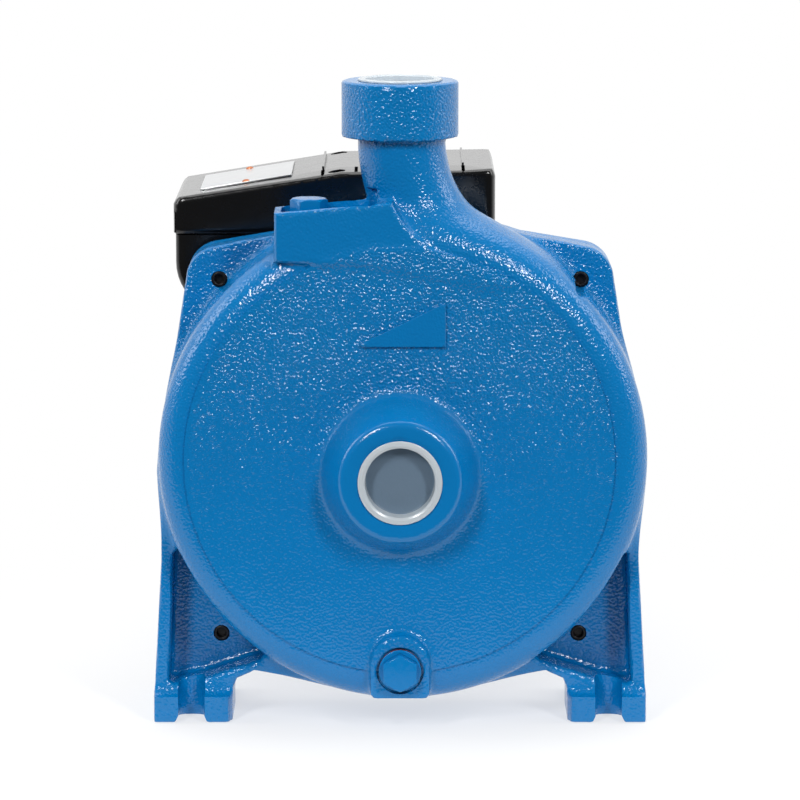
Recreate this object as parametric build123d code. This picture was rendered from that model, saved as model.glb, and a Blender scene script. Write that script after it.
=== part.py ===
"""Close-coupled centrifugal water pump: one STEP file for each piece, in millimetres.

+X is to the right of someone facing the suction port, +Y runs from the pump to the motor, +Z is up.
The origin is midway between the round seats of the two front foot slots, on the plane the pump stands on.
"""
from build123d import *
from math import atan2, cos, degrees, pi, sin, sqrt
import os

os.makedirs("parts", exist_ok=True)

# ---- driving dimensions ----
SHAFT_Z = 99.5            # shaft height above the base plane
TOP_Z = 245.7             # face of the discharge collar
SUCTION_Y = -42.0         # face of the suction boss
SLOT_SPACING = 160.0      # between the foot slots
SLOT_WIDTH = 10.0
FOOT_THICKNESS = 10.0
FOOT_FRONT_Y = -8.0
FOOT_BACK_Y = 50.0
FOOT_OUTER_X = 94.3
FOOT_INNER_X = 65.5
BOLT_HALF = 69.0          # half the side of the square of casing bolts
BOLT_RADIUS = 3.0
EAR_RADIUS = 12.5
CORNERS = [(sx * BOLT_HALF, SHAFT_Z + sz * BOLT_HALF) for sx in (-1, 1) for sz in (-1, 1)]

# volute casing
VOLUTE_X = 1.1            # the volute is set off to the discharge side and upwards
VOLUTE_Z = 103.5
VOLUTE_RADIUS = 92.5
CAVITY_RADIUS = 85.5
FACE_Y = -23.0
WALL_INNER_Y = -15.0
RIM_ROUND = 11.0
FLANGE_FRONT_Y = 13.0
FLANGE_BACK_Y = 24.0
BRACKET_FLANGE_Y = 33.0   # back of the motor bracket's bolted flange
FLANGE_DISC_RADIUS = 90.0
FLANGE_DISC_Z = 101.5
LEG_FRONT_Y = -4.0
REGISTER_RADIUS = 78.0
ARROW_HEIGHT = 1.6

# ports, pipe size G1
PORT_RADIUS = 15.146
PORT_ENTRY_RADIUS = 15.45
PORT_ENTRY_DEPTH = 8.0
PORT_THREAD_LENGTH = 13.5
BOSS_RADIUS = 22.5
BOSS_BASE_RADIUS = 30.0
COLLAR_RADIUS = 22.0
COLLAR_HEIGHT = 21.0
NECK_RADIUS = 16.5
NECK_BORE_RADIUS = 12.5
WEAR_LAND_RADIUS = 20.3

# plugs, pipe size G1/4, with hexagon heads
PLUG_HOLE_RADIUS = 5.80
PLUG_SHANK_RADIUS = 5.72
PLUG_HEAD_FLATS = 12.5
PLUG_HEAD_HEIGHT = 5.5
PLUG_SHANK_LENGTH = 9.0
PLUG_COLLAR_RADIUS = 8.0
PLUG_COLLAR_HEIGHT = 1.2
WASHER_THICKNESS = 1.3
PRIMING_X = -34.1
PRIMING_Y = -14.0
PRIMING_SEAT_Z = 194.8
PRIMING_TURN = 6.0        # degrees the hexagon is turned about its axis
PRIMING_FRONT_Y = -24.5
PRIMING_BACK_Y = -3.0
PRIMING_LEFT_X = -46.9
PRIMING_BOTTOM_Z = 179.7
PRIMING_HOLE_END_Z = 170.0
DRAIN_Z = 24.6
DRAIN_BOSS_RADIUS = 11.2
DRAIN_RECESS_RADIUS = 9.0
DRAIN_SEAT_Y = -25.0

# bearings, 17 x 40 x 12
BEARING_WIDTH = 12.0
BEARING_OUTER = 20.0
BEARING_BORE = 8.5
BALL_PITCH_RADIUS = 14.25
BALL_RADIUS = 3.15
GROOVE_RADIUS = 3.45
BALL_COUNT = 8
FRONT_BEARING_Y = 44.0
REAR_BEARING_Y = 166.0

# motor
HOUSING_BORE = 53.0
HOUSING_RADIUS = 57.5
FIN_RADIUS = 65.0
HOUSING_FRONT_Y = 44.0
HOUSING_BACK_Y = 168.0
SHIELD_BACK_Y = 182.0
STATOR_FRONT_Y = 78.0
STATOR_BACK_Y = 152.0
STATOR_BORE = 34.0
ROTOR_RADIUS = 33.6
SHAFT_RADIUS = 8.5
SHAFT_END_RADIUS = 7.0
SHAFT_STEP_Y = 20.0
REAR_STEP_Y = 181.0
SHAFT_FRONT_Y = -16.0
SHAFT_BACK_Y = 210.0
TIE_ROD_CIRCLE = 61.0
TIE_ROD_RADIUS = 2.5
COVER_FRONT_Y = 172.0
COVER_BACK_Y = 242.0
COVER_RADIUS = 66.5
COVER_SHEET = 1.2
PAD_TOP_Z = SHAFT_Z + FIN_RADIUS
PAD_BOTTOM_Z = SHAFT_Z - FIN_RADIUS

# impeller
IMPELLER_RADIUS = 66.0
EYE_RADIUS = 20.0
EYE_BORE = 16.5
SHROUD_OUTER_Y = 6.0
SHROUD_INNER_Y = 4.0
HUB_RADIUS = 13.0
VANE_COUNT = 6
VANE_THICKNESS = 3.0

# terminal box
BOX_LEFT_X = -88.5
BOX_RIGHT_X = 37.6
BOX_FRONT_Y = 40.0
BOX_BACK_Y = 116.0
BOX_SPLIT_Z = 182.0
BOX_TOP_Z = 208.0
BOX_WALL = 2.5
LID_BREAK_X = -23.0       # where the lid's flat top starts to slope down to the left
LID_LEFT_Z = 197.0
LID_SCREW_X = -24.5
LID_SCREW_YS = (BOX_FRONT_Y + 6.5, BOX_BACK_Y - 6.5)
BOX_SCREW_XS = (-24.0, 24.0)
BOX_SCREW_Y = 96.0
TERMINAL_XS = (-11, 0, 11)
TERMINAL_Y = 56.0
PLATE_X = -60.0           # middle of the rating plate
PLATE_Y = 76.0
PLATE_WIDTH = 36.0
PLATE_LENGTH = 48.0
PLATE_THICKNESS = 0.8
RIVET_OFFSET = 22.4       # from the middle of the plate to each rivet
RIVET_RADIUS = 0.8
RIVET_HEAD_RADIUS = 1.5
EARTH_X = 24.0
EARTH_Y = 60.0
BOX_HOLES = [(x, BOX_SCREW_Y) for x in BOX_SCREW_XS] + [(EARTH_X, EARTH_Y)]
GLAND_X = 8.0
GLAND_Z = 174.6
GLAND_FLATS = 13.8
GLAND_THREAD_RADIUS = 5.8
GLAND_BORE = 4.1

CLEAR = 0.05              # slip clearance between pieces of the same body


# ---- helpers ----
def rod(radius, y0, y1, x=0.0, z=SHAFT_Z):
    """A round bar along Y."""
    return Pos(x, (y0 + y1) / 2, z) * Rot(90, 0, 0) * Cylinder(radius, y1 - y0)


def tube(outer, inner, y0, y1, x=0.0, z=SHAFT_Z):
    """A round tube along Y."""
    return rod(outer, y0, y1, x, z) - rod(inner, y0 - 1, y1 + 1, x, z)


def post(radius, z0, z1, x=0.0, y=0.0):
    """A round bar along Z."""
    return Pos(x, y, (z0 + z1) / 2) * Cylinder(radius, z1 - z0)


def block(x0, x1, y0, y1, z0, z1):
    """A box between two corners."""
    return Pos((x0 + x1) / 2, (y0 + y1) / 2, (z0 + z1) / 2) * Box(x1 - x0, y1 - y0, z1 - z0)


def slab(sketch, y0, y1):
    """A sketch drawn in X and Z, made solid from y0 to y1."""
    return extrude(Plane.XZ.offset(-y1) * sketch, amount=y1 - y0)


def turned(points, x=0.0, z=SHAFT_Z):
    """A solid turned about an axis along Y from (radius, y) points."""
    face = make_face(Polyline(*[(r, y, 0) for r, y in points], close=True))
    return Pos(x, 0, z) * revolve(face, Axis.Y)


def round_about(solid, count, start=0.0):
    """Copies of a solid turned about the shaft axis."""
    axis = Axis((0, 0, SHAFT_Z), (0, 1, 0))
    return [solid.rotate(axis, start + 360 * i / count) for i in range(count)]


def hexagon_bar(flats, y0, y1, x=0.0, z=SHAFT_Z, turn=0.0):
    """A hexagon bar along Y."""
    return slab(Pos(x, z) * Rot(0, 0, turn) * RegularPolygon(flats / sqrt(3), 6), y0, y1)


def mirrored_x(points):
    """The points reflected in the plane X = 0, in the opposite order."""
    return [(-x, z) for x, z in reversed(points)]


def disc_sketch(radius, x, z):
    return Pos(x, z) * Circle(radius)


pieces = {}


def keep(name, *solids):
    """Put one or more solids in a node."""
    flat = []
    for s in solids:
        flat += list(s) if isinstance(s, (list, tuple)) else [s]
    pieces[name] = flat[0] if len(flat) == 1 else Compound(children=[c for f in flat for c in f.solids()])


# ---- pump casing ----
def ear_flange(y0, y1):
    """A square flange with rounded bolt ears around a disc."""
    corners = [disc_sketch(EAR_RADIUS, x, z) for x, z in CORNERS]
    middle = disc_sketch(FLANGE_DISC_RADIUS, 0, FLANGE_DISC_Z)
    edges = [e for c in corners + [middle] for e in c.edges()]
    return slab(make_hull(edges), y0, y1)


def leg_outline():
    """Both legs with the sloping web that joins them under the volute."""
    right = [(0, 10.5), (12, 11.3), (55.6, 19.3), (62.6, 16.2), (FOOT_INNER_X, 9), (FOOT_INNER_X, 0),
             (FOOT_OUTER_X, 0), (FOOT_OUTER_X, 9), (91.2, 62), (91.2, 110), (0, 110)]
    return make_face(Polyline(*(right + mirrored_x(right[1:-1])), close=True))


def pocket_outline():
    """The triangular pocket between a leg and the round of the volute, on the left."""
    points = [(-84.6, 67), (-86.6, 65), (-88.6, 15.2), (-86.5, 14.2), (-74.4, 16.6), (-53.5, 23.5),
              (-51.2, 27), (-67.9, 41.2)]
    return make_face(Polyline(*points, close=True))


def neck_path():
    """The centre line of the discharge channel, from the collar to the volute's rim."""
    points = [(0.5, 227), (1.2, 216), (5.0, 202), (14.0, 187.5), (28.0, 176.0), (46.0, 164.5)]
    return Spline(*[(x, 0, z) for x, z in points], tangents=((0, 0, -1), (0.82, 0, -0.57)))


def swept_neck(radius):
    path = neck_path()
    start = Plane(origin=path @ 0, z_dir=path % 0)
    return sweep(start * Circle(radius), path=path)


def priming_boss():
    """The boss on the top left of the face, and the recess in which its plug sits."""
    points = [(PRIMING_LEFT_X, PRIMING_BOTTOM_Z), (12.3, PRIMING_BOTTOM_Z), (12.3, 184.2), (4.7, 190.2),
              (-3.0, 201.0), (PRIMING_LEFT_X, 198.3)]
    boss = slab(make_face(Polyline(*points, close=True)), PRIMING_FRONT_Y, PRIMING_BACK_Y)
    boss = fillet(boss.edges().filter_by(Axis.Z).group_by(Axis.X)[0], 2.0)
    recess = block(PRIMING_LEFT_X + 2.4, -8.5, PRIMING_FRONT_Y + 2.1, PRIMING_BACK_Y - 2.4,
                   PRIMING_SEAT_Z, PRIMING_SEAT_Z + 8)
    return boss, fillet(recess.edges().filter_by(Axis.Z), 2.0)


def pump_casing():
    volute = rod(VOLUTE_RADIUS, FACE_Y, FLANGE_BACK_Y, VOLUTE_X, VOLUTE_Z)
    volute = fillet(volute.edges().filter_by(GeomType.CIRCLE).sort_by(Axis.Y)[0], RIM_ROUND)
    body = volute + ear_flange(FLANGE_FRONT_Y, FLANGE_BACK_Y)
    legs = slab(leg_outline(), LEG_FRONT_Y, FLANGE_BACK_Y)
    pocket = slab(pocket_outline(), LEG_FRONT_Y - 1, FLANGE_FRONT_Y)
    legs -= pocket + mirror(pocket, Plane.YZ)
    body += legs
    for side in (-1, 1):
        x0, x1 = sorted((side * FOOT_INNER_X, side * FOOT_OUTER_X))
        foot = block(x0, x1, FOOT_FRONT_Y, FOOT_BACK_Y, 0, FOOT_THICKNESS)
        foot = fillet(foot.edges().filter_by(Axis.Z), 1.5)
        body += foot
    # suction boss, discharge collar and neck
    body += turned([(0, FACE_Y + 2), (BOSS_BASE_RADIUS + 1.2, FACE_Y + 2), (BOSS_BASE_RADIUS, FACE_Y),
                    (BOSS_RADIUS + 0.6, SUCTION_Y + 1.6), (BOSS_RADIUS - 1.0, SUCTION_Y), (0, SUCTION_Y)])
    collar_z = TOP_Z - COLLAR_HEIGHT
    collar = post(COLLAR_RADIUS, collar_z, TOP_Z)
    collar = fillet(collar.edges().filter_by(GeomType.CIRCLE), 0.8)
    under = Pos(0, 0, collar_z - 2) * Cone(NECK_RADIUS, COLLAR_RADIUS - 1.5, 4)
    body += swept_neck(NECK_RADIUS) + collar + under
    # priming boss with a recess round the plug, and the drain boss
    boss, recess = priming_boss()
    body += boss
    arch = disc_sketch(DRAIN_BOSS_RADIUS, 0, DRAIN_Z + 2.2)
    arch += Pos(0, DRAIN_Z - 4.6) * Rectangle(2 * DRAIN_BOSS_RADIUS, 13.0)
    body += slab(arch, DRAIN_SEAT_Y - 2, FLANGE_FRONT_Y)
    body -= rod(DRAIN_RECESS_RADIUS, DRAIN_SEAT_Y - 3, DRAIN_SEAT_Y, 0, DRAIN_Z)
    # flow arrow on the face, a low wedge
    wedge = make_face(Polyline((-17.2, 147.9), (17.1, 147.9), (17.1, 164.6), close=True))
    body += slab(wedge, FACE_Y - ARROW_HEIGHT, FACE_Y + 1)
    # hollow inside
    cavity = rod(CAVITY_RADIUS, WALL_INNER_Y, FLANGE_FRONT_Y, VOLUTE_X, VOLUTE_Z)
    cavity = fillet(cavity.edges().filter_by(GeomType.CIRCLE).sort_by(Axis.Y)[0], 7.0)
    thread_end_y = SUCTION_Y + PORT_ENTRY_DEPTH + PORT_THREAD_LENGTH
    body -= cavity
    body -= rod(REGISTER_RADIUS, FLANGE_FRONT_Y - 1, FLANGE_BACK_Y + 1)
    body -= rod(PORT_ENTRY_RADIUS, SUCTION_Y - 1, SUCTION_Y + PORT_ENTRY_DEPTH)
    body -= rod(PORT_RADIUS, SUCTION_Y, thread_end_y)
    body -= rod(WEAR_LAND_RADIUS, thread_end_y, WALL_INNER_Y + 1)
    body -= swept_neck(NECK_BORE_RADIUS)
    body -= post(PORT_ENTRY_RADIUS, TOP_Z - PORT_ENTRY_DEPTH, TOP_Z + 1)
    body -= post(PORT_RADIUS, TOP_Z - PORT_ENTRY_DEPTH - PORT_THREAD_LENGTH, TOP_Z)
    body -= recess
    body -= post(PLUG_HOLE_RADIUS, PRIMING_HOLE_END_Z, PRIMING_SEAT_Z + 1, PRIMING_X, PRIMING_Y)
    body -= rod(PLUG_HOLE_RADIUS, DRAIN_SEAT_Y - 1, WALL_INNER_Y + 6, 0, DRAIN_Z)
    for x, z in CORNERS:
        body -= rod(BOLT_RADIUS + CLEAR, FLANGE_FRONT_Y - 1, FLANGE_BACK_Y + 1, x, z)
    for x in (-SLOT_SPACING / 2, SLOT_SPACING / 2):
        body -= block(x - SLOT_WIDTH / 2, x + SLOT_WIDTH / 2, FOOT_FRONT_Y - 1, 0, -1, FOOT_THICKNESS + 4)
        body -= post(SLOT_WIDTH / 2, -1, FOOT_THICKNESS + 4, x)
    return body


keep("pump_casing", pump_casing())
keep("casing_o_ring", tube(REGISTER_RADIUS - 0.1, REGISTER_RADIUS - 2.9, 18.1, 20.9))


# ---- motor bracket, which closes the volute ----
def motor_bracket():
    body = rod(REGISTER_RADIUS - 0.1, 14, FLANGE_BACK_Y)
    body -= tube(REGISTER_RADIUS + 1, REGISTER_RADIUS - 3, 18, 21)
    body += ear_flange(FLANGE_BACK_Y, BRACKET_FLANGE_Y)
    body += rod(FIN_RADIUS, BRACKET_FLANGE_Y, HOUSING_FRONT_Y)
    body += rod(HOUSING_BORE - CLEAR, HOUSING_FRONT_Y, HOUSING_FRONT_Y + 6)
    body -= tube(HOUSING_BORE - 5, 26, 31, HOUSING_FRONT_Y + 7)
    body += rod(26, 30, FRONT_BEARING_Y + BEARING_WIDTH)
    body -= rod(13, 13, 20)                                    # pocket of the seal seat
    body -= rod(9.5, 19, FRONT_BEARING_Y + 1)                  # shaft hole
    body -= rod(20, 28, 40)                                    # leak chamber
    body -= rod(BEARING_OUTER, FRONT_BEARING_Y, FRONT_BEARING_Y + BEARING_WIDTH + 1)
    body -= post(3, SHAFT_Z - FIN_RADIUS - 2, SHAFT_Z, 0, 37.5)                # leak drain
    for x, z in CORNERS:
        body -= rod(BOLT_RADIUS + 0.3, FLANGE_BACK_Y - 1, BRACKET_FLANGE_Y + 1, x, z)
    tapped = rod(TIE_ROD_RADIUS + CLEAR, 36, HOUSING_FRONT_Y + 1, 0, SHAFT_Z + TIE_ROD_CIRCLE)
    for hole in round_about(tapped, 4, 45):
        body -= hole
    return body


keep("motor_bracket", motor_bracket())


def casing_bolt(x, z):
    """A hexagon bolt from the motor side, whose cupped end shows in the casing ear."""
    bolt = rod(BOLT_RADIUS, FLANGE_FRONT_Y + 0.4, BRACKET_FLANGE_Y, x, z)
    bolt += hexagon_bar(10, BRACKET_FLANGE_Y, BRACKET_FLANGE_Y + 4.2, x, z)
    return bolt - rod(1.7, FLANGE_FRONT_Y - 1, FLANGE_FRONT_Y + 2.2, x, z)


keep("casing_bolts", [casing_bolt(x, z) for x, z in CORNERS])

# ---- shaft seal ----
keep("seal_seat_cup", tube(13, 11.4, 14, 20))
keep("seal_seat", tube(11.4, 9.2, 13.6, 20))
keep("seal_head", tube(11.0, SHAFT_END_RADIUS, 10.2, 13.5))


def seal_spring():
    path = Helix(pitch=1.3, height=2.6, radius=9.4, center=(0, 0, 0), direction=(0, 0, 1))
    wire = sweep(Plane(origin=path @ 0, z_dir=path % 0) * Circle(0.45), path=path)
    return Pos(0, SHROUD_OUTER_Y + 0.75, SHAFT_Z) * Rot(-90, 0, 0) * wire


keep("seal_spring", seal_spring())
keep("slinger", tube(14, SHAFT_RADIUS, 31, 33.5))


# ---- impeller and rotor ----
KEY_Y0, KEY_Y1 = -1.0, 5.0
key_block = block(-2, 2, KEY_Y0, KEY_Y1, SHAFT_Z + SHAFT_END_RADIUS - 2, SHAFT_Z + SHAFT_END_RADIUS + 2)


def impeller():
    body = tube(IMPELLER_RADIUS, EYE_BORE, -SHROUD_OUTER_Y, -SHROUD_INNER_Y)
    body += tube(EYE_RADIUS, EYE_BORE, -19, -SHROUD_OUTER_Y)
    body += rod(IMPELLER_RADIUS, SHROUD_INNER_Y, SHROUD_OUTER_Y)
    body += rod(HUB_RADIUS, -2, SHROUD_OUTER_Y)
    start, bend, tip = (18.5, 0), (41.0, 23.0), (30.0, 57.5)
    curve = Pos(0, SHAFT_Z) * trace(ThreePointArc(start, bend, tip), VANE_THICKNESS)
    vane = slab(curve, -SHROUD_INNER_Y, SHROUD_INNER_Y)
    for v in round_about(vane, VANE_COUNT):
        body += v
    return body - rod(SHAFT_END_RADIUS, -20, 20) - key_block


def shaft():
    body = rod(SHAFT_END_RADIUS, -2, SHAFT_STEP_Y) + rod(SHAFT_RADIUS, SHAFT_STEP_Y, REAR_STEP_Y)
    body += rod(SHAFT_END_RADIUS, REAR_STEP_Y, SHAFT_BACK_Y) + rod(5, SHAFT_FRONT_Y, -2)
    body = chamfer(body.edges().filter_by(GeomType.CIRCLE).sort_by(Axis.Y)[-1], 0.8)
    body -= tube(SHAFT_END_RADIUS + 1, SHAFT_END_RADIUS - 0.6, 206.5, 207.7)
    return body - key_block


keep("impeller", impeller())
keep("impeller_key", key_block)
keep("impeller_washer", tube(10.5, 5, -3.5, -2))
keep("impeller_nut", hexagon_bar(16, -11.5, -3.5) - rod(5, -20, 0))
keep("shaft", shaft())


def rotor_core():
    body = tube(ROTOR_RADIUS, SHAFT_RADIUS, 80, 150)
    ring = tube(ROTOR_RADIUS - 2, 20, 74, 80) + tube(ROTOR_RADIUS - 2, 20, 150, 156)
    blade = block(-1, 1, 68, 74, SHAFT_Z + 21, SHAFT_Z + 31)
    for b in round_about(blade, 8):
        ring += b
    return body + ring


keep("rotor_core", rotor_core())


# ---- ball bearings ----
def raceway(y):
    return Pos(0, y + BEARING_WIDTH / 2, SHAFT_Z) * Rot(90, 0, 0) * Torus(BALL_PITCH_RADIUS, GROOVE_RADIUS)


def bearing(name, y):
    inner = tube(11.9, BEARING_BORE, y, y + BEARING_WIDTH) - raceway(y)
    outer = tube(BEARING_OUTER, 16.6, y, y + BEARING_WIDTH) - raceway(y)
    centre_y = y + BEARING_WIDTH / 2
    ball = Pos(0, centre_y, SHAFT_Z + BALL_PITCH_RADIUS) * Sphere(BALL_RADIUS)
    pocket = Pos(0, centre_y, SHAFT_Z + BALL_PITCH_RADIUS) * Sphere(BALL_RADIUS + 0.1)
    cage = tube(BALL_PITCH_RADIUS + 1.1, BALL_PITCH_RADIUS - 1.1, centre_y - 4, centre_y + 4)
    for hole in round_about(pocket, BALL_COUNT):
        cage -= hole
    keep(name + "_bearing_inner_ring", inner)
    keep(name + "_bearing_outer_ring", outer)
    keep(name + "_bearing_balls", round_about(ball, BALL_COUNT))
    keep(name + "_bearing_cage", cage)


bearing("front", FRONT_BEARING_Y)
bearing("rear", REAR_BEARING_Y)


# ---- motor ----
def support_pad():
    return block(-19, 19, 128, 160, PAD_BOTTOM_Z, SHAFT_Z - HOUSING_RADIUS + 4)


def motor_housing():
    body = rod(HOUSING_RADIUS, HOUSING_FRONT_Y, HOUSING_BACK_Y)
    fin = block(-1.1, 1.1, 52, 160, SHAFT_Z + HOUSING_RADIUS - 3, SHAFT_Z + FIN_RADIUS)
    for angle in range(0, 360, 10):
        if min(abs(angle - rod_angle) for rod_angle in (45, 135, 225, 315)) > 6:
            body += fin.rotate(Axis((0, 0, SHAFT_Z), (0, 1, 0)), angle)
    body += block(-32, 32, 46, 112, SHAFT_Z + HOUSING_RADIUS - 24, PAD_TOP_Z)
    body += support_pad()
    body -= rod(HOUSING_BORE, HOUSING_FRONT_Y - 1, HOUSING_BACK_Y + 1)
    body -= post(9, SHAFT_Z + 40, PAD_TOP_Z + 1, 0, 70)                       # lead-out to the terminal box
    for x, y in BOX_HOLES:
        body -= post(2 + CLEAR, PAD_TOP_Z - 8, PAD_TOP_Z + 1, x, y)
    for y in (136, 152):
        body -= post(2.5 + CLEAR, PAD_BOTTOM_Z - 1, PAD_BOTTOM_Z + 7, 0, y)
    return body


def rear_end_shield():
    body = rod(FIN_RADIUS, HOUSING_BACK_Y, SHIELD_BACK_Y)
    body += tube(HOUSING_BORE - CLEAR, HOUSING_BORE - 5, 164.5, HOUSING_BACK_Y)
    body += rod(26, REAR_BEARING_Y - 1.5, HOUSING_BACK_Y)
    body -= rod(BEARING_OUTER, REAR_BEARING_Y - 2, REAR_BEARING_Y + BEARING_WIDTH + 0.8)
    body -= rod(9.2, 160, SHIELD_BACK_Y + 1)
    body -= tube(HOUSING_BORE - 6, 30, HOUSING_BACK_Y - 1, SHIELD_BACK_Y - 5)
    hole = rod(TIE_ROD_RADIUS + 0.2, HOUSING_BACK_Y - 1, SHIELD_BACK_Y + 1, 0, SHAFT_Z + TIE_ROD_CIRCLE)
    tapped = post(2 + CLEAR, SHAFT_Z + FIN_RADIUS - 8, SHAFT_Z + FIN_RADIUS + 1, 0, 175)
    for cut in round_about(hole, 4, 45) + round_about(tapped, 4):
        body -= cut
    return body


keep("motor_housing", motor_housing())
keep("rear_end_shield", rear_end_shield())
washer_y = REAR_BEARING_Y + BEARING_WIDTH + 0.1
keep("wave_washer", tube(BEARING_OUTER - 0.3, 16.5, washer_y, washer_y + 0.6))
tie_rod = rod(TIE_ROD_RADIUS, 36.5, SHIELD_BACK_Y, 0, SHAFT_Z + TIE_ROD_CIRCLE)
tie_rod += hexagon_bar(8, SHIELD_BACK_Y, SHIELD_BACK_Y + 4, 0, SHAFT_Z + TIE_ROD_CIRCLE)
keep("tie_rods", round_about(tie_rod, 4, 45))


def stator_core():
    body = tube(HOUSING_BORE, STATOR_BORE, STATOR_FRONT_Y, STATOR_BACK_Y)
    bore_z = SHAFT_Z + STATOR_BORE
    slot = block(-2.2, 2.2, STATOR_FRONT_Y - 1, STATOR_BACK_Y + 1, bore_z + 1.5, bore_z + 11)
    slot += block(-0.9, 0.9, STATOR_FRONT_Y - 1, STATOR_BACK_Y + 1, bore_z - 1, bore_z + 2)
    for cut in round_about(slot, 24):
        body -= cut
    return body


def stator_windings():
    body = tube(50, 37.5, 63, STATOR_FRONT_Y) + tube(50, 37.5, STATOR_BACK_Y, 163.5)
    rings = body.edges().filter_by(GeomType.CIRCLE).group_by(Axis.Y)
    body = fillet(rings[0] + rings[-1], 4)
    coil_side = block(-2.0, 2.0, STATOR_FRONT_Y - 1, STATOR_BACK_Y + 1, SHAFT_Z + 38, SHAFT_Z + 44.6)
    for side in round_about(coil_side, 24):
        body += side
    return body


keep("stator_core", stator_core())
keep("stator_windings", stator_windings())


def cooling_fan():
    body = rod(12, 188, 204) + tube(50, 11, 188, 190)
    blade = block(-1, 1, 190, 203, SHAFT_Z + 11, SHAFT_Z + 50)
    for b in round_about(blade, 8):
        body += b
    return body - rod(SHAFT_END_RADIUS, 180, 210)


def fan_cover():
    body = rod(COVER_RADIUS, COVER_FRONT_Y, COVER_BACK_Y)
    body = fillet(body.edges().filter_by(GeomType.CIRCLE).sort_by(Axis.Y)[-1], 8)
    hollow = rod(COVER_RADIUS - COVER_SHEET, COVER_FRONT_Y - 1, COVER_BACK_Y - COVER_SHEET)
    hollow = fillet(hollow.edges().filter_by(GeomType.CIRCLE).sort_by(Axis.Y)[-1], 8 - COVER_SHEET)
    body -= hollow
    bars = block(-2.5, 2.5, COVER_BACK_Y - 2 * COVER_SHEET, COVER_BACK_Y + 1, SHAFT_Z - 60, SHAFT_Z + 60)
    bars += bars.rotate(Axis((0, 0, SHAFT_Z), (0, 1, 0)), 90)
    for radius in (15, 23, 31, 39, 47):
        body -= tube(radius + 4, radius, COVER_BACK_Y - 2 * COVER_SHEET, COVER_BACK_Y + 1) - bars
    hole = post(2.2, SHAFT_Z + 60, SHAFT_Z + COVER_RADIUS + 1, 0, 175)
    for cut in round_about(hole, 4):
        body -= cut
    return body


keep("cooling_fan", cooling_fan())
fan_clip = tube(9.5, SHAFT_END_RADIUS - 0.5, 206.6, 207.6) - block(-2.5, 2.5, 206, 208, SHAFT_Z - 10, SHAFT_Z)
keep("fan_clip", fan_clip)
keep("fan_cover", fan_cover())
cover_screw = post(2, SHAFT_Z + FIN_RADIUS - 7, SHAFT_Z + COVER_RADIUS, 0, 175)
cover_screw += post(3.6, SHAFT_Z + COVER_RADIUS, SHAFT_Z + COVER_RADIUS + 2.4, 0, 175)
keep("fan_cover_screws", round_about(cover_screw, 4))


# ---- rear support ----
def motor_support_foot():
    """A folded steel stirrup under the motor."""
    half = [(20, PAD_BOTTOM_Z), (43.2, 3), (62, 3), (62, 0), (41, 0), (18, PAD_BOTTOM_Z - 3)]
    outline = half + mirrored_x(half)
    body = slab(make_face(Polyline(*outline, close=True)), 130, 158)
    for x in (-53, 53):
        body -= post(4.5, -1, 4, x, 144)
    for y in (136, 152):
        body -= post(2.7, PAD_BOTTOM_Z - 4, PAD_BOTTOM_Z + 1, 0, y)
    return body


keep("motor_support_foot", motor_support_foot())
keep("support_foot_screws", [post(2.5, PAD_BOTTOM_Z - 3, PAD_BOTTOM_Z + 6.5, 0, y)
                             + post(4.3, PAD_BOTTOM_Z - 6, PAD_BOTTOM_Z - 3, 0, y) for y in (136, 152)])


# ---- terminal box ----
def box_base_outline(inset):
    """The base in front view: shallow over the motor, deeper on the left where the capacitor lies."""
    left, right = BOX_LEFT_X + 1.5 + inset, BOX_RIGHT_X - 1.0 - inset
    low, floor, step = 151.0 + inset, PAD_TOP_Z + inset, -50.0 + inset
    bend = 20.0 - inset
    corner = (left + bend * (1 - cos(pi / 4)), low + bend * (1 - sin(pi / 4)))
    top = BOX_SPLIT_Z + (1 if inset else 0)
    points = [(left + bend, low), (step - 4, low), (step, floor), (right, floor), (right, top), (left, top),
              (left, low + bend)]
    return make_face([Polyline(*points), ThreePointArc(points[-1], corner, points[0])])


def lid_outline(inset):
    """The lid in front view: flat on the right and falling to the left."""
    left, right, top = BOX_LEFT_X + inset, BOX_RIGHT_X - inset, BOX_TOP_Z - inset
    low = BOX_SPLIT_Z - (1 if inset else 0)
    points = [(left, low), (right, low), (right, top - 3), (right - 2, top), (LID_BREAK_X, top - 0.8),
              (left + 3, LID_LEFT_Z - inset), (left, LID_LEFT_Z - 3 - inset)]
    return make_face(Polyline(*points, close=True))


def terminal_box_base():
    body = slab(box_base_outline(0), BOX_FRONT_Y + 1.0, BOX_BACK_Y - 1.0)
    body -= slab(box_base_outline(BOX_WALL), BOX_FRONT_Y + 1.0 + BOX_WALL, BOX_BACK_Y - 1.0 - BOX_WALL)
    body -= post(8, PAD_TOP_Z - 1, PAD_TOP_Z + 5, 0, 70)
    body -= rod(GLAND_THREAD_RADIUS + CLEAR, BOX_BACK_Y - 5, BOX_BACK_Y, GLAND_X, GLAND_Z)
    for x, y in BOX_HOLES:
        body -= post(2.2, PAD_TOP_Z - 1, PAD_TOP_Z + 5, x, y)
    for y in LID_SCREW_YS:
        pillar = post(4, PAD_TOP_Z, BOX_SPLIT_Z, LID_SCREW_X, y)
        body += pillar - post(1.75, PAD_TOP_Z + 4, BOX_SPLIT_Z + 1, LID_SCREW_X, y)
    return body


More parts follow.
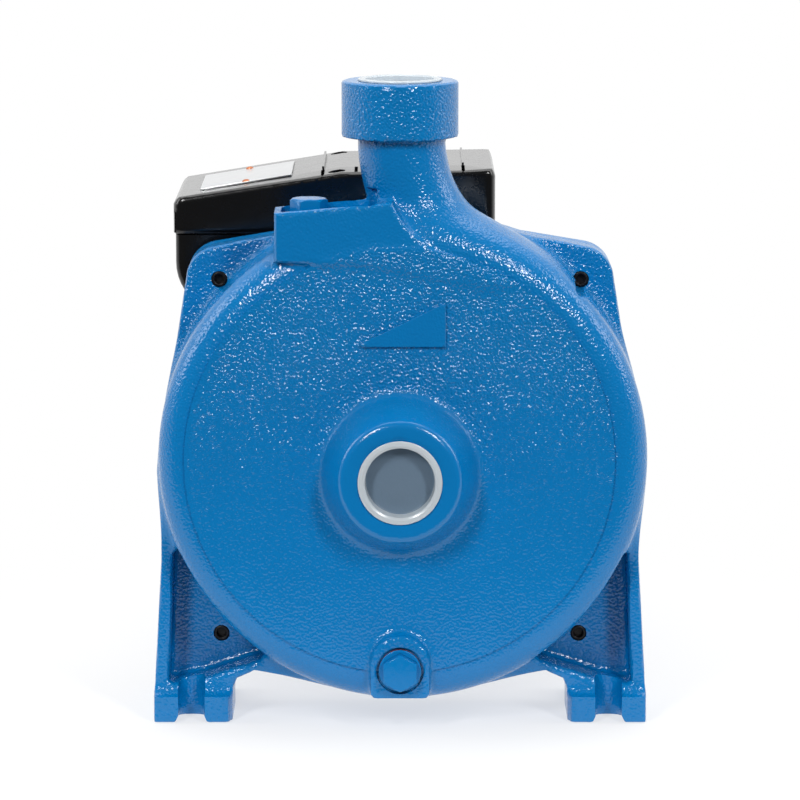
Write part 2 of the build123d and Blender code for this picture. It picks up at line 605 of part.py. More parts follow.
def terminal_box_lid():
    body = slab(lid_outline(0), BOX_FRONT_Y, BOX_BACK_Y)
    body -= slab(lid_outline(BOX_WALL), BOX_FRONT_Y + BOX_WALL, BOX_BACK_Y - BOX_WALL)
    for y in LID_SCREW_YS:
        body += post(5, BOX_SPLIT_Z + 1.2, BOX_TOP_Z - 1.5, LID_SCREW_X, y)
        body -= post(3.4, BOX_SPLIT_Z + 6, BOX_TOP_Z + 1, LID_SCREW_X, y)
        body -= post(1.9, BOX_SPLIT_Z, BOX_TOP_Z, LID_SCREW_X, y)
    body -= on_slope(Box(PLATE_WIDTH + 0.2, PLATE_LENGTH + 0.2, PLATE_THICKNESS + 0.2))
    for y in (-RIVET_OFFSET, RIVET_OFFSET):
        body -= on_slope(post(RIVET_RADIUS, -8, 2, 0, y))
    return body


def on_slope(piece):
    """A piece drawn about the middle of the rating plate, laid on the sloping part of the lid."""
    run, rise = LID_BREAK_X - BOX_LEFT_X - 3, BOX_TOP_Z - 0.8 - LID_LEFT_Z
    z = LID_LEFT_Z + (PLATE_X - BOX_LEFT_X - 3) * rise / run
    return Pos(PLATE_X, PLATE_Y, z) * Rot(0, -degrees(atan2(rise, run)), 0) * piece


def lid_plate():
    body = Box(PLATE_WIDTH, PLATE_LENGTH, PLATE_THICKNESS)
    for y in (-RIVET_OFFSET, RIVET_OFFSET):
        body -= post(RIVET_RADIUS, -1, 1, 0, y)
    return on_slope(body)


def rivet(y):
    """A small round-head rivet through the plate and the lid's wall."""
    head_z = PLATE_THICKNESS / 2
    head = post(RIVET_HEAD_RADIUS, head_z, head_z + 0.7, 0, y)
    return on_slope(post(RIVET_RADIUS, -2.6, head_z, 0, y) + head)


def lid_screw(y):
    """A slotted screw sunk in the lid."""
    head_z = BOX_SPLIT_Z + 6
    head = post(3.2, head_z, head_z + 2.5, LID_SCREW_X, y)
    head -= block(LID_SCREW_X - 0.4, LID_SCREW_X + 0.4, y - 3, y + 3, head_z + 1.5, head_z + 3)
    return head + post(1.7, PAD_TOP_Z + 6, head_z, LID_SCREW_X, y)


keep("terminal_box_base", terminal_box_base())
keep("terminal_box_lid", terminal_box_lid())
keep("lid_plate", lid_plate())
keep("lid_plate_rivets", [rivet(-RIVET_OFFSET), rivet(RIVET_OFFSET)])
keep("lid_screws", [lid_screw(y) for y in LID_SCREW_YS])
keep("terminal_box_screws", [post(2, PAD_TOP_Z - 7, PAD_TOP_Z + BOX_WALL, x, BOX_SCREW_Y)
                             + post(3.6, PAD_TOP_Z + BOX_WALL, PAD_TOP_Z + BOX_WALL + 2.4, x, BOX_SCREW_Y)
                             for x in BOX_SCREW_XS])
capacitor = rod(15.5, 47, 105, -67, 171)
capacitor = fillet(capacitor.edges().filter_by(GeomType.CIRCLE), 1.5)
capacitor += block(-73, -72.2, 105, 110, 168, 174) + block(-61.8, -61, 105, 110, 168, 174)
keep("capacitor", capacitor)


def terminal_block():
    body = block(-17, 17, 50, 62, PAD_TOP_Z + BOX_WALL, PAD_TOP_Z + BOX_WALL + 13)
    for x in TERMINAL_XS:
        body -= post(2.6, PAD_TOP_Z + 8, PAD_TOP_Z + 20, x, TERMINAL_Y)
        body -= rod(1.9, 49, 63, x, PAD_TOP_Z + BOX_WALL + 4)
    return body


keep("terminal_block", terminal_block())
keep("terminal_screws", [post(2.4, PAD_TOP_Z + 8.5, PAD_TOP_Z + 14, x, TERMINAL_Y) for x in TERMINAL_XS])
keep("earth_screw", post(2, PAD_TOP_Z - 6, PAD_TOP_Z + BOX_WALL, EARTH_X, EARTH_Y)
     + post(4, PAD_TOP_Z + BOX_WALL, PAD_TOP_Z + BOX_WALL + 2.5, EARTH_X, EARTH_Y))


# ---- cable gland ----
def gland_body():
    body = rod(GLAND_THREAD_RADIUS, BOX_BACK_Y - 7.5, BOX_BACK_Y - 1, GLAND_X, GLAND_Z)
    body += hexagon_bar(GLAND_FLATS, BOX_BACK_Y - 1, BOX_BACK_Y + 3.5, GLAND_X, GLAND_Z)
    body += rod(GLAND_THREAD_RADIUS, BOX_BACK_Y + 3.5, BOX_BACK_Y + 11, GLAND_X, GLAND_Z)
    return body - rod(GLAND_BORE + 0.3, BOX_BACK_Y - 8, BOX_BACK_Y + 12, GLAND_X, GLAND_Z)


def gland_nut():
    body = rod(GLAND_FLATS / 2 + 0.3, BOX_BACK_Y + 4, BOX_BACK_Y + 17, GLAND_X, GLAND_Z)
    body = fillet(body.edges().filter_by(GeomType.CIRCLE).sort_by(Axis.Y)[-1], 2)
    body -= rod(GLAND_THREAD_RADIUS + CLEAR, BOX_BACK_Y + 3, BOX_BACK_Y + 13.5, GLAND_X, GLAND_Z)
    return body - rod(GLAND_BORE, BOX_BACK_Y, BOX_BACK_Y + 20, GLAND_X, GLAND_Z)


locknut = hexagon_bar(GLAND_FLATS, BOX_BACK_Y - 6.5, BOX_BACK_Y - 3.5, GLAND_X, GLAND_Z)
keep("gland_body", gland_body())
locknut -= rod(GLAND_THREAD_RADIUS + CLEAR, BOX_BACK_Y - 8, BOX_BACK_Y, GLAND_X, GLAND_Z)
keep("gland_locknut", locknut)
keep("gland_nut", gland_nut())
gland_seal = rod(GLAND_THREAD_RADIUS - 0.2, BOX_BACK_Y + 11, BOX_BACK_Y + 13.4, GLAND_X, GLAND_Z)
keep("gland_seal", gland_seal - rod(GLAND_BORE - 0.6, BOX_BACK_Y + 10, BOX_BACK_Y + 14, GLAND_X, GLAND_Z))


# ---- plugs and transport caps ----
def plug():
    """A hexagon-head pipe plug: head up, with its washer seat at z = 0."""
    head = extrude(RegularPolygon(PLUG_HEAD_FLATS / sqrt(3), 6), amount=PLUG_HEAD_HEIGHT + PLUG_COLLAR_HEIGHT)
    head = chamfer(head.edges().group_by(Axis.Z)[-1], 0.7)
    collar = post(PLUG_COLLAR_RADIUS, 0, PLUG_COLLAR_HEIGHT)
    return head + collar + post(PLUG_SHANK_RADIUS, -PLUG_SHANK_LENGTH, 0.5)


def washer():
    return post(PLUG_COLLAR_RADIUS, -WASHER_THICKNESS, 0) - post(PLUG_SHANK_RADIUS + 0.1, -3, 1)


def at_priming(piece):
    return Pos(PRIMING_X, PRIMING_Y, PRIMING_SEAT_Z + WASHER_THICKNESS) * Rot(0, 0, PRIMING_TURN) * piece


def at_drain(piece):
    return Pos(0, DRAIN_SEAT_Y - WASHER_THICKNESS, DRAIN_Z) * Rot(90, 0, 0) * Rot(0, 0, 30) * piece


def transport_cap():
    """A thin plastic cup with a lip, mouth up, whose lip rests at z = 0."""
    cup = post(PORT_ENTRY_RADIUS - 0.3, -7.2, 0) + post(PORT_ENTRY_RADIUS + 0.35, 0, 1.0)
    cup = fillet(cup.edges().filter_by(GeomType.CIRCLE).sort_by(Axis.Z)[0], 1.2)
    return cup - post(12.8, -5.6, 2)


keep("priming_plug", at_priming(plug()))
keep("priming_washer", at_priming(washer()))
keep("drain_plug", at_drain(plug()))
keep("drain_washer", at_drain(washer()))
keep("suction_cap", Pos(0, SUCTION_Y, SHAFT_Z) * Rot(90, 0, 0) * transport_cap())
keep("discharge_cap", Pos(0, 0, TOP_Z) * transport_cap())

for name, piece in pieces.items():
    export_step(piece, f"parts/{name}.step")
    print(name, len(piece.solids()), round(piece.volume, 1))
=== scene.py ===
"""Looks of the close-coupled centrifugal pump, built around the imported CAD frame.

All sizes in the classes are in millimetres and are scaled to metres when a mesh is made. The frame's
origin lies between the round seats of the two front foot slots, on the base plane: +X to the right seen
from the front, +Y towards the motor, +Z up.
"""
from __future__ import annotations

import logging
import math
from dataclasses import dataclass
from enum import Enum
from typing import Callable, Iterable, Sequence

import bmesh
import bpy
import numpy as np
from mathutils import Euler, Matrix, Vector


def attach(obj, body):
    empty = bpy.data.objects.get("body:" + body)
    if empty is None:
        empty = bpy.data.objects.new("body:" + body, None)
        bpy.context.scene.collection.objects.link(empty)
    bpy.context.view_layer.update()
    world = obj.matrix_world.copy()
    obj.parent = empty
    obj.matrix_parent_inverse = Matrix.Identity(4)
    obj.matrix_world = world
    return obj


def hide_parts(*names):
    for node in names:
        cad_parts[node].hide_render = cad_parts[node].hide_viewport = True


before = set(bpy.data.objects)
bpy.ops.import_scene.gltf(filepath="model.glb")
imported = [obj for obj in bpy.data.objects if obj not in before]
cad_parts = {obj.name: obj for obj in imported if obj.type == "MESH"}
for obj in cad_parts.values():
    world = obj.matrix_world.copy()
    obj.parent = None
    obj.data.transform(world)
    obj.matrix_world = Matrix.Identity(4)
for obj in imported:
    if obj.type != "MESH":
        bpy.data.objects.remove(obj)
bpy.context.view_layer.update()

LOG = logging.getLogger("pump")
MM = 0.001
SHAFT_Z = 99.5
SHARP_ANGLE = math.radians(38)
MERGE_DISTANCE = 0.002 * MM
SHORTEST_EDGE = 0.001 * MM
BEVELLED_ANGLE = math.radians(20)
HEXAGON = 6
ROUND = 24

Numbers = np.ndarray
Point = tuple[float, float]
Field = Callable[[Numbers, Numbers, Numbers], Numbers]


# ---------------------------------------------------------------- signed distance fields
def round_max(first: Numbers, second: Numbers, radius: float) -> Numbers:
    """Intersects two fields and rounds the edge between them.

    Args:
        first: Signed distance to the first solid.
        second: Signed distance to the second solid.
        radius: Radius of the rounded edge.

    Returns:
        The signed distance to the shared solid.
    """
    one = first + radius
    two = second + radius
    outside = np.hypot(np.maximum(one, 0.0), np.maximum(two, 0.0))
    return np.minimum(np.maximum(one, two), 0.0) + outside - radius


def blend_min(first: Numbers, second: Numbers, width: float) -> Numbers:
    """Joins two fields with a smooth fillet.

    Args:
        first: Signed distance to the first solid.
        second: Signed distance to the second solid.
        width: Width of the fillet.

    Returns:
        The signed distance to both solids together.
    """
    near = np.maximum(width - np.abs(first - second), 0.0) / width
    return np.minimum(first, second) - near * near * width / 4


def cut(body: Numbers, tool: Numbers, width: float = 0.0) -> Numbers:
    """Takes a tool out of a body, with its lips eased over a width where one is given.

    Args:
        body: Signed distance to the body.
        tool: Signed distance to the solid that is taken away.
        width: Width of the eased lip.

    Returns:
        The signed distance to what is left.
    """
    if width <= 0.0:
        return np.maximum(body, -tool)
    return -blend_min(-body, tool, width)


def slab(flat: Numbers, along: Numbers, low: float, high: float, radius: float = 0.0) -> Numbers:
    """Gives a flat outline a thickness, with both edges rounded.

    Args:
        flat: Signed distance to the outline in its plane.
        along: Coordinate across the plane.
        low: Where the slab begins.
        high: Where it ends.
        radius: Radius of both edges.

    Returns:
        The signed distance to the slab.
    """
    return round_max(flat, np.maximum(low - along, along - high), radius)


def polygon(u: Numbers, v: Numbers, points: Sequence[Point]) -> Numbers:
    """Signed distance to a closed polygon.

    Args:
        u: First coordinate in the polygon's plane.
        v: Second coordinate.
        points: Corners in order.

    Returns:
        The distance, below zero inside.
    """
    nearest: Numbers | float = np.inf
    inside = np.zeros(np.broadcast(u, v).shape, bool)
    for (u0, v0), (u1, v1) in zip(points, [*points[1:], points[0]]):
        du, dv = u1 - u0, v1 - v0
        share = np.clip(((u - u0) * du + (v - v0) * dv) / (du * du + dv * dv), 0.0, 1.0)
        nearest = np.minimum(nearest, (u - u0 - share * du) ** 2 + (v - v0 - share * dv) ** 2)
        if dv:
            crosses = ((v0 <= v) != (v1 <= v)) & (u < u0 + (v - v0) * du / dv)
            inside = inside ^ crosses
    return np.where(inside, -1.0, 1.0) * np.sqrt(nearest)


def polyline(u: Numbers, v: Numbers, points: Sequence[Point]) -> Numbers:
    """Distance to an open run of points in a plane.

    Args:
        u: First coordinate in the plane.
        v: Second coordinate.
        points: Points in order.

    Returns:
        The distance, never below zero.
    """
    nearest: Numbers | float = np.inf
    for (u0, v0), (u1, v1) in zip(points, points[1:]):
        du, dv = u1 - u0, v1 - v0
        share = np.clip(((u - u0) * du + (v - v0) * dv) / (du * du + dv * dv), 0.0, 1.0)
        nearest = np.minimum(nearest, (u - u0 - share * du) ** 2 + (v - v0 - share * dv) ** 2)
    return np.sqrt(nearest)


def rectangle(u: Numbers, v: Numbers, low: Point, high: Point, radius: float = 0.0) -> Numbers:
    """Signed distance to a rectangle with rounded corners.

    Args:
        u: First coordinate.
        v: Second coordinate.
        low: Lowest corner.
        high: Highest corner.
        radius: Corner radius.

    Returns:
        The signed distance.
    """
    across = np.abs(u - (low[0] + high[0]) / 2) - (high[0] - low[0]) / 2
    up = np.abs(v - (low[1] + high[1]) / 2) - (high[1] - low[1]) / 2
    return round_max(across, up, radius)


def mirrored(points: Sequence[Point]) -> list[Point]:
    """The points mirrored in x, in reverse order."""
    return [(-x, z) for x, z in reversed(points)]


def curve_points(points: Sequence[Point], steps: int) -> list[Point]:
    """Points along a Catmull-Rom curve through the given ones.

    Args:
        points: The points that the curve passes.
        steps: Steps between two neighbours.

    Returns:
        The finer run of points.
    """
    run = np.array([points[0], *points, points[-1]], float)
    made: list[Point] = []
    for i in range(1, len(run) - 2):
        a, b, c, d = run[i - 1], run[i], run[i + 1], run[i + 2]
        for t in np.arange(steps) / steps:
            place = 0.5 * (2 * b + (c - a) * t + (2 * a - 5 * b + 4 * c - d) * t**2
                           + (3 * b - a - 3 * c + d) * t**3)
            made.append((float(place[0]), float(place[1])))
    made.append((float(run[-1][0]), float(run[-1][1])))
    return made


def spaced(low: float, high: float, step: float,
           fine: Iterable[tuple[float, float, float]] = ()) -> Numbers:
    """Grid lines from low to high, closer together inside the fine spans.

    Args:
        low: First grid line.
        high: Last grid line, or just past it.
        step: Usual distance between two lines.
        fine: Spans as (start, end, step).

    Returns:
        The sorted grid lines.
    """
    lines = [low]
    while lines[-1] < high:
        here = lines[-1]
        gap = step
        for start, end, close in fine:
            if start <= here < end:
                gap = close
        lines.append(here + gap)
    return np.array(lines)


@dataclass
class Contour:
    """Turns a signed distance field into a mesh whose edges stay sharp where the field's do."""

    field: Field
    xs: Numbers
    ys: Numbers
    zs: Numbers
    probe: float = 0.01
    flatness: float = 0.1
    refinements: int = 4
    margin: float = 0.02
    smallest_slope: float = 1e-9

    def normals(self, points: Numbers) -> Numbers:
        """Unit normals of the field at a list of points.

        Args:
            points: Points in millimetres, one to a row.

        Returns:
            One normal for each point.
        """
        slopes = []
        for axis in range(3):
            ends = []
            for side in (1.0, -1.0):
                moved = points.copy()
                moved[:, axis] += side * self.probe
                ends.append(self.field(moved[:, 0], moved[:, 1], moved[:, 2]))
            slopes.append(ends[0] - ends[1])
        found = np.stack(slopes, 1)
        length = np.linalg.norm(found, axis=1, keepdims=True)
        return found / np.maximum(length, self.smallest_slope)

    def crossings(self, grid: Numbers, axis: int) -> tuple[Numbers, Numbers, Numbers]:
        """Where the surface crosses the grid edges along one axis.

        Args:
            grid: The field at every grid point.
            axis: The axis that the edges follow.

        Returns:
            The edges' lower grid indices, the crossing points, and whether each lower end is inside.
        """
        lines = (self.xs, self.ys, self.zs)
        low = [slice(None)] * 3
        high = [slice(None)] * 3
        low[axis] = slice(0, -1)
        high[axis] = slice(1, None)
        first, last = grid[tuple(low)], grid[tuple(high)]
        change = (first < 0) != (last < 0)
        index = np.argwhere(change)
        inside = first[change] < 0
        points = np.stack([lines[d][index[:, d]] for d in range(3)], 1)
        start = points[:, axis].copy()
        end = lines[axis][index[:, axis] + 1].copy()
        at_start, at_end = first[change], last[change]
        for _ in range(self.refinements):
            share = np.clip(at_start / (at_start - at_end), self.margin, 1 - self.margin)
            points[:, axis] = start + (end - start) * share
            value = self.field(points[:, 0], points[:, 1], points[:, 2])
            same = (value < 0) == (at_start < 0)
            start = np.where(same, points[:, axis], start)
            at_start = np.where(same, value, at_start)
            end = np.where(same, end, points[:, axis])
            at_end = np.where(same, at_end, value)
        drop = np.where(at_start == at_end, 1.0, at_start - at_end)
        points[:, axis] = start + (end - start) * at_start / drop
        return index, points, inside

    def mesh(self) -> tuple[Numbers, Numbers]:
        """Makes the mesh.

        Returns:
            Vertices in millimetres, and quads.
        """
        shape = (len(self.xs), len(self.ys), len(self.zs))
        grid = self.field(self.xs[:, None, None], self.ys[None, :, None], self.zs[None, None, :])
        grid = np.broadcast_to(grid, shape)
        cell_shape = tuple(n - 1 for n in shape)
        corners, places, facing = [], [], []
        for axis in range(3):
            index, points, inside = self.crossings(grid, axis)
            second, third = (axis + 1) % 3, (axis + 2) % 3
            ring = []
            for b, c in ((-1, -1), (0, -1), (0, 0), (-1, 0)):
                cell = index.copy()
                cell[:, second] += b
                cell[:, third] += c
                ring.append(np.ravel_multi_index(tuple(cell.T), cell_shape))
            quad = np.stack(ring, 1)
            corners.append(np.where(inside[:, None], quad, quad[:, ::-1]))
            places.append(points)
            facing.append(self.normals(points))
        quads = np.concatenate(corners)
        place = np.concatenate(places)
        normal = np.concatenate(facing)
        cells, flat = np.unique(quads, return_inverse=True)
        flat = flat.reshape(-1)
        four = np.repeat(np.arange(len(place)), 4)

        def gather(values: Numbers) -> Numbers:
            """Sums a value of every crossing into its four cells."""
            return np.bincount(flat, values[four], len(cells))

        count = gather(np.ones(len(place)))
        middle = np.stack([gather(place[:, d]) for d in range(3)], 1) / count[:, None]
        offset = np.einsum("ij,ij->i", normal, place)
        matrix = np.empty((len(cells), 3, 3))
        target = np.stack([gather(normal[:, d] * offset) for d in range(3)], 1)
        for a in range(3):
            for b in range(a, 3):
                matrix[:, a, b] = matrix[:, b, a] = gather(normal[:, a] * normal[:, b])
        target -= np.einsum("nij,nj->ni", matrix, middle)
        size, axes = np.linalg.eigh(matrix)
        strong = size > self.flatness * size[:, 2:3]
        inverse = np.where(strong, 1.0 / np.where(strong, size, 1.0), 0.0)
        shift = np.einsum("nij,nj,nkj,nk->ni", axes, inverse, axes, target)
        where = np.stack(np.unravel_index(cells, cell_shape), 1)
        lines = (self.xs, self.ys, self.zs)
        lows = np.stack([line[where[:, d]] for d, line in enumerate(lines)], 1)
        highs = np.stack([line[where[:, d] + 1] for d, line in enumerate(lines)], 1)
        return np.clip(middle + shift, lows, highs), flat.reshape(-1, 4)


# ---------------------------------------------------------------- meshes
def new_piece(name: str, points: Numbers, faces: Numbers | Sequence[Sequence[int]],
              material: bpy.types.Material) -> bpy.types.Object:
    """Makes a mesh object at the origin from points in millimetres.

    Args:
        name: Name of the piece.
        points: Vertices in millimetres, in the frame's axes.
        faces: Vertex indices of each face.
        material: The piece's material.

    Returns:
        The new object, linked to the scene.
    """
    mesh = bpy.data.meshes.new(name)
    mesh.from_pydata(np.asarray(points, float) * MM, [], faces)
    mesh.materials.append(material)
    mesh.shade_smooth()
    mesh.set_sharp_from_angle(angle=SHARP_ANGLE)
    mesh.validate()
    piece = bpy.data.objects.new(name, mesh)
    bpy.context.scene.collection.objects.link(piece)
    return piece


def settle(piece: bpy.types.Object, body: str, slot: str, *nodes: str) -> bpy.types.Object:
    """Puts a finished piece on its body and hides the CAD nodes that it stands for.

    Args:
        piece: The finished piece.
        body: The CAD body that it rides on.
        slot: The record's material slot; not used.
        nodes: CAD nodes that it replaces.

    Returns:
        The same piece.
    """
    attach(piece, body)
    if nodes:
        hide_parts(*nodes)
    LOG.info("%s: %d faces on %s", piece.name, len(piece.data.polygons), body)
    return piece


def tidy_mesh(piece: bpy.types.Object) -> bpy.types.Object:
    """Merges doubles, turns the faces outwards and shades the piece.

    Args:
        piece: The piece to tidy.

    Returns:
        The same piece.
    """
    work = bmesh.new()
    work.from_mesh(piece.data)
    bmesh.ops.remove_doubles(work, verts=work.verts, dist=MERGE_DISTANCE)
    bmesh.ops.dissolve_degenerate(work, edges=work.edges, dist=SHORTEST_EDGE)
    bmesh.ops.recalc_face_normals(work, faces=work.faces)
    work.to_mesh(piece.data)
    work.free()
    piece.data.shade_smooth()
    piece.data.set_sharp_from_angle(angle=SHARP_ANGLE)
    return piece


def apply_modifiers(piece: bpy.types.Object) -> bpy.types.Object:
    """Replaces the piece's mesh by its evaluated one and drops its modifiers.

    Args:
        piece: The piece with modifiers.

    Returns:
        The same piece, with a plain mesh.
    """
    evaluated = piece.evaluated_get(bpy.context.evaluated_depsgraph_get())
    mesh = bpy.data.meshes.new_from_object(evaluated)
    mesh.name = piece.name
    piece.modifiers.clear()
    piece.data = mesh
    return piece


def join(first: bpy.types.Object, *others: bpy.types.Object) -> bpy.types.Object:
    """Puts the meshes of several pieces of one body and finish into the first.

    Args:
        first: The piece that stays.
        others: Pieces whose meshes move into it.

    Returns:
        The first piece.
    """
    work = bmesh.new()
    for part in (first, *others):
        work.from_mesh(part.data)
    work.to_mesh(first.data)
    work.free()
    for part in others:
        bpy.data.objects.remove(part)
    first.data.shade_smooth()
    first.data.set_sharp_from_angle(angle=SHARP_ANGLE)
    return first


class Axis(Enum):
    """The direction that a turned shape's axis has."""

    UP = "up"
    BACK = "back"
    FRONT = "front"

    def turn(self) -> Matrix:
        """The rotation from +Z to this axis."""
        angle = {Axis.UP: 0.0, Axis.BACK: -90.0, Axis.FRONT: 90.0}[self]
        return Matrix.Rotation(math.radians(angle), 4, "X")


def eased(points: Sequence[Point], radii: Sequence[float], steps: int = 4) -> list[Point]:
    """Rounds the corners of a closed profile.

    Args:
        points: Corners in order.
        radii: One radius for each corner, 0 for a sharp one.
        steps: Steps round each corner.

    Returns:
        The rounded profile.
    """
    made: list[Point] = []
    for i, (corner, radius) in enumerate(zip(points, radii)):
        if radius <= 0.0:
            made.append(corner)
            continue
        here = Vector(corner)
        back = Vector(points[i - 1]) - here
        ahead = Vector(points[(i + 1) % len(points)]) - here
        angle = back.angle(ahead)
        reach = radius / math.tan(angle / 2)
        start = here + back.normalized() * reach
        end = here + ahead.normalized() * reach
        inward = (back.normalized() + ahead.normalized()).normalized()
        middle = here + inward * radius / math.sin(angle / 2)
        sweep = math.pi - angle
        first = start - middle
        turn = 1 if back.x * ahead.y - back.y * ahead.x < 0 else -1
        for s in range(steps + 1):
            spin = Matrix.Rotation(turn * sweep * s / steps, 2)
            made.append(tuple(middle + spin @ first))
        made[-1] = tuple(end)
    return made


@dataclass(frozen=True)
class Turned:
    """A solid of revolution, drawn as (radius, height) about its axis."""

    profile: Sequence[Point]
    axis: Axis = Axis.UP
    centre: tuple[float, float, float] = (0.0, 0.0, 0.0)
    segments: int = 96

    def piece(self, name: str, material: bpy.types.Material) -> bpy.types.Object:
        """Makes the turned piece, with faces outwards and poles closed.

        Args:
            name: Name of the piece.
            material: The piece's material.

        Returns:
            The new piece.
        """
        turn = self.axis.turn()
        points = []
        for s in range(self.segments):
            angle = 2 * math.pi * s / self.segments
            for radius, height in self.profile:
                local = Vector((radius * math.cos(angle), radius * math.sin(angle), height))
                points.append(tuple(turn @ local + Vector(self.centre)))
        count = len(self.profile)
        faces = []
        for s in range(self.segments):
            after = (s + 1) % self.segments
            for p in range(count):
                q = (p + 1) % count
                faces.append((s * count + p, s * count + q, after * count + q, after * count + p))
        return tidy_mesh(new_piece(name, np.array(points), faces, material))


def prism(name: str, outline: Sequence[Point], low: float, high: float, place: Matrix, bevel: float,
          material: bpy.types.Material, steps: int = 3) -> bpy.types.Object:
    """A straight-sided piece with rounded edges.

    Args:
        name: Name of the piece.
        outline: Corners in the local XY plane, in millimetres.
        low: Lower end along local Z.
        high: Upper end.
        place: Where the local axes go, in millimetres.
        bevel: Radius of the edges.
        material: The piece's material.
        steps: Steps across each rounded edge.

    Returns:
        The new piece.
    """
    work = bmesh.new()
    verts = [work.verts.new((x, y, low)) for x, y in outline]
    base = work.faces.new(verts)
    top = bmesh.ops.extrude_face_region(work, geom=[base])
    raised = [v for v in top["geom"] if isinstance(v, bmesh.types.BMVert)]
    bmesh.ops.translate(work, verts=raised, vec=(0, 0, high - low))
    bmesh.ops.recalc_face_normals(work, faces=work.faces)
    keen = [e for e in work.edges if e.calc_face_angle(0.0) > BEVELLED_ANGLE]
    bmesh.ops.bevel(work, geom=keen, offset=bevel, segments=steps, profile=0.5, affect="EDGES",
                    clamp_overlap=True)
    work.transform(Matrix.Scale(MM, 4) @ place)
    mesh = bpy.data.meshes.new(name)
    work.to_mesh(mesh)
    work.free()
    mesh.materials.append(material)
    piece = bpy.data.objects.new(name, mesh)
    bpy.context.scene.collection.objects.link(piece)
    return tidy_mesh(piece)


# ---------------------------------------------------------------- geometry nodes
class Tree:
    """A geometry node tree with named inputs, which ends in realised instances and a material."""

    def __init__(self, name: str) -> None:
        """Starts an empty tree with its output socket."""
        self.group = bpy.data.node_groups.new(name, "GeometryNodeTree")
        self.group.interface.new_socket("Geometry", in_out="OUTPUT", socket_type="NodeSocketGeometry")
        self.group.interface.new_socket("Geometry", in_out="INPUT", socket_type="NodeSocketGeometry")
        self.inputs = self.add("NodeGroupInput")
        self.output = self.add("NodeGroupOutput")
        self.identifiers: dict[str, str] = {}

    def add(self, kind: str, **settings: object) -> bpy.types.Node:
        """Adds a node and sets its properties.

        Args:
            kind: The node's type.
            settings: Properties of the node.

        Returns:
            The new node.
        """
        node = self.group.nodes.new(kind)
        for key, value in settings.items():
            setattr(node, key, value)
        return node

    def number(self, name: str, kind: str = "NodeSocketFloat") -> bpy.types.NodeSocket:
        """Adds a named input.

        Args:
            name: Name of the input.
            kind: Type of its socket.

        Returns:
            The input's socket inside the tree.
        """
        socket = self.group.interface.new_socket(name, in_out="INPUT", socket_type=kind)
        self.identifiers[name] = socket.identifier
        return self.inputs.outputs[name]

    def link(self, source: bpy.types.NodeSocket, target: bpy.types.NodeSocket) -> None:
        """Joins two sockets."""
        self.group.links.new(source, target)

    def close(self, geometry: bpy.types.NodeSocket) -> None:
        """Ends the tree in Realize Instances and Set Material.

        Args:
            geometry: The socket that carries the finished shape.
        """
        realise = self.add("GeometryNodeRealizeInstances")
        paint = self.add("GeometryNodeSetMaterial")
        self.link(geometry, realise.inputs["Geometry"])
        self.link(realise.outputs["Geometry"], paint.inputs["Geometry"])
        self.link(self.number("Material", "NodeSocketMaterial"), paint.inputs["Material"])
        self.link(paint.outputs["Geometry"], self.output.inputs[0])

    def run(self, name: str, seats: Sequence[tuple[Vector, Euler]], material: bpy.types.Material,
            **sizes: float | int) -> bpy.types.Object:
        """Runs the tree on a set of seats and returns one plain mesh piece.

        Args:
            name: Name of the piece.
            seats: Where each copy goes and how it is turned, in millimetres.
            material: The piece's material.
            sizes: Values of the named inputs, with spaces written as underscores.

        Returns:
            The finished piece with no modifier.
        """
        mesh = bpy.data.meshes.new(name)
        mesh.from_pydata([tuple(place * MM) for place, _ in seats], [], [])
        turn = mesh.attributes.new("turn", "FLOAT_VECTOR", "POINT")
        turn.data.foreach_set("vector", [angle for _, euler in seats for angle in euler])
        piece = bpy.data.objects.new(name, mesh)
        bpy.context.scene.collection.objects.link(piece)
        modifier = piece.modifiers.new("build", "NODES")
        modifier.node_group = self.group
        modifier[self.identifiers["Material"]] = material
        for key, value in sizes.items():
            modifier[self.identifiers[key.replace("_", " ")]] = value
        apply_modifiers(piece)
        piece.data.materials.clear()
        piece.data.materials.append(material)
        piece.data.polygons.foreach_set("material_index", [0] * len(piece.data.polygons))
        return tidy_mesh(piece)

    def scatter(self, shape: bpy.types.NodeSocket) -> bpy.types.NodeSocket:
        """Puts a copy of a shape on every seat, turned as its attribute says.

        Args:
            shape: The socket that carries the shape.

        Returns:
            The socket that carries the copies.
        """
        place = self.add("GeometryNodeInstanceOnPoints")
        turned = self.add("GeometryNodeInputNamedAttribute", data_type="FLOAT_VECTOR")
        turned.inputs["Name"].default_value = "turn"
        to_turn = self.add("FunctionNodeEulerToRotation")
        self.link(self.inputs.outputs["Geometry"], place.inputs["Points"])
        self.link(shape, place.inputs["Instance"])
        self.link(turned.outputs["Attribute"], to_turn.inputs["Euler"])
        self.link(to_turn.outputs["Rotation"], place.inputs["Rotation"])
        return place.outputs["Instances"]


def bar_tree() -> Tree:
    """A tree that puts straight bars on seats: cooling fins, lid ribs and grips.

    Returns:
        The tree, with inputs Width, Length and Height.
    """
    tree = Tree("straight_bars")
    size = tree.add("ShaderNodeCombineXYZ")
    for name, axis in (("Width", "X"), ("Length", "Y"), ("Height", "Z")):
        tree.link(tree.number(name), size.inputs[axis])
    cube = tree.add("GeometryNodeMeshCube")
    tree.link(size.outputs["Vector"], cube.inputs["Size"])
    tree.close(tree.scatter(cube.outputs["Mesh"]))
    return tree


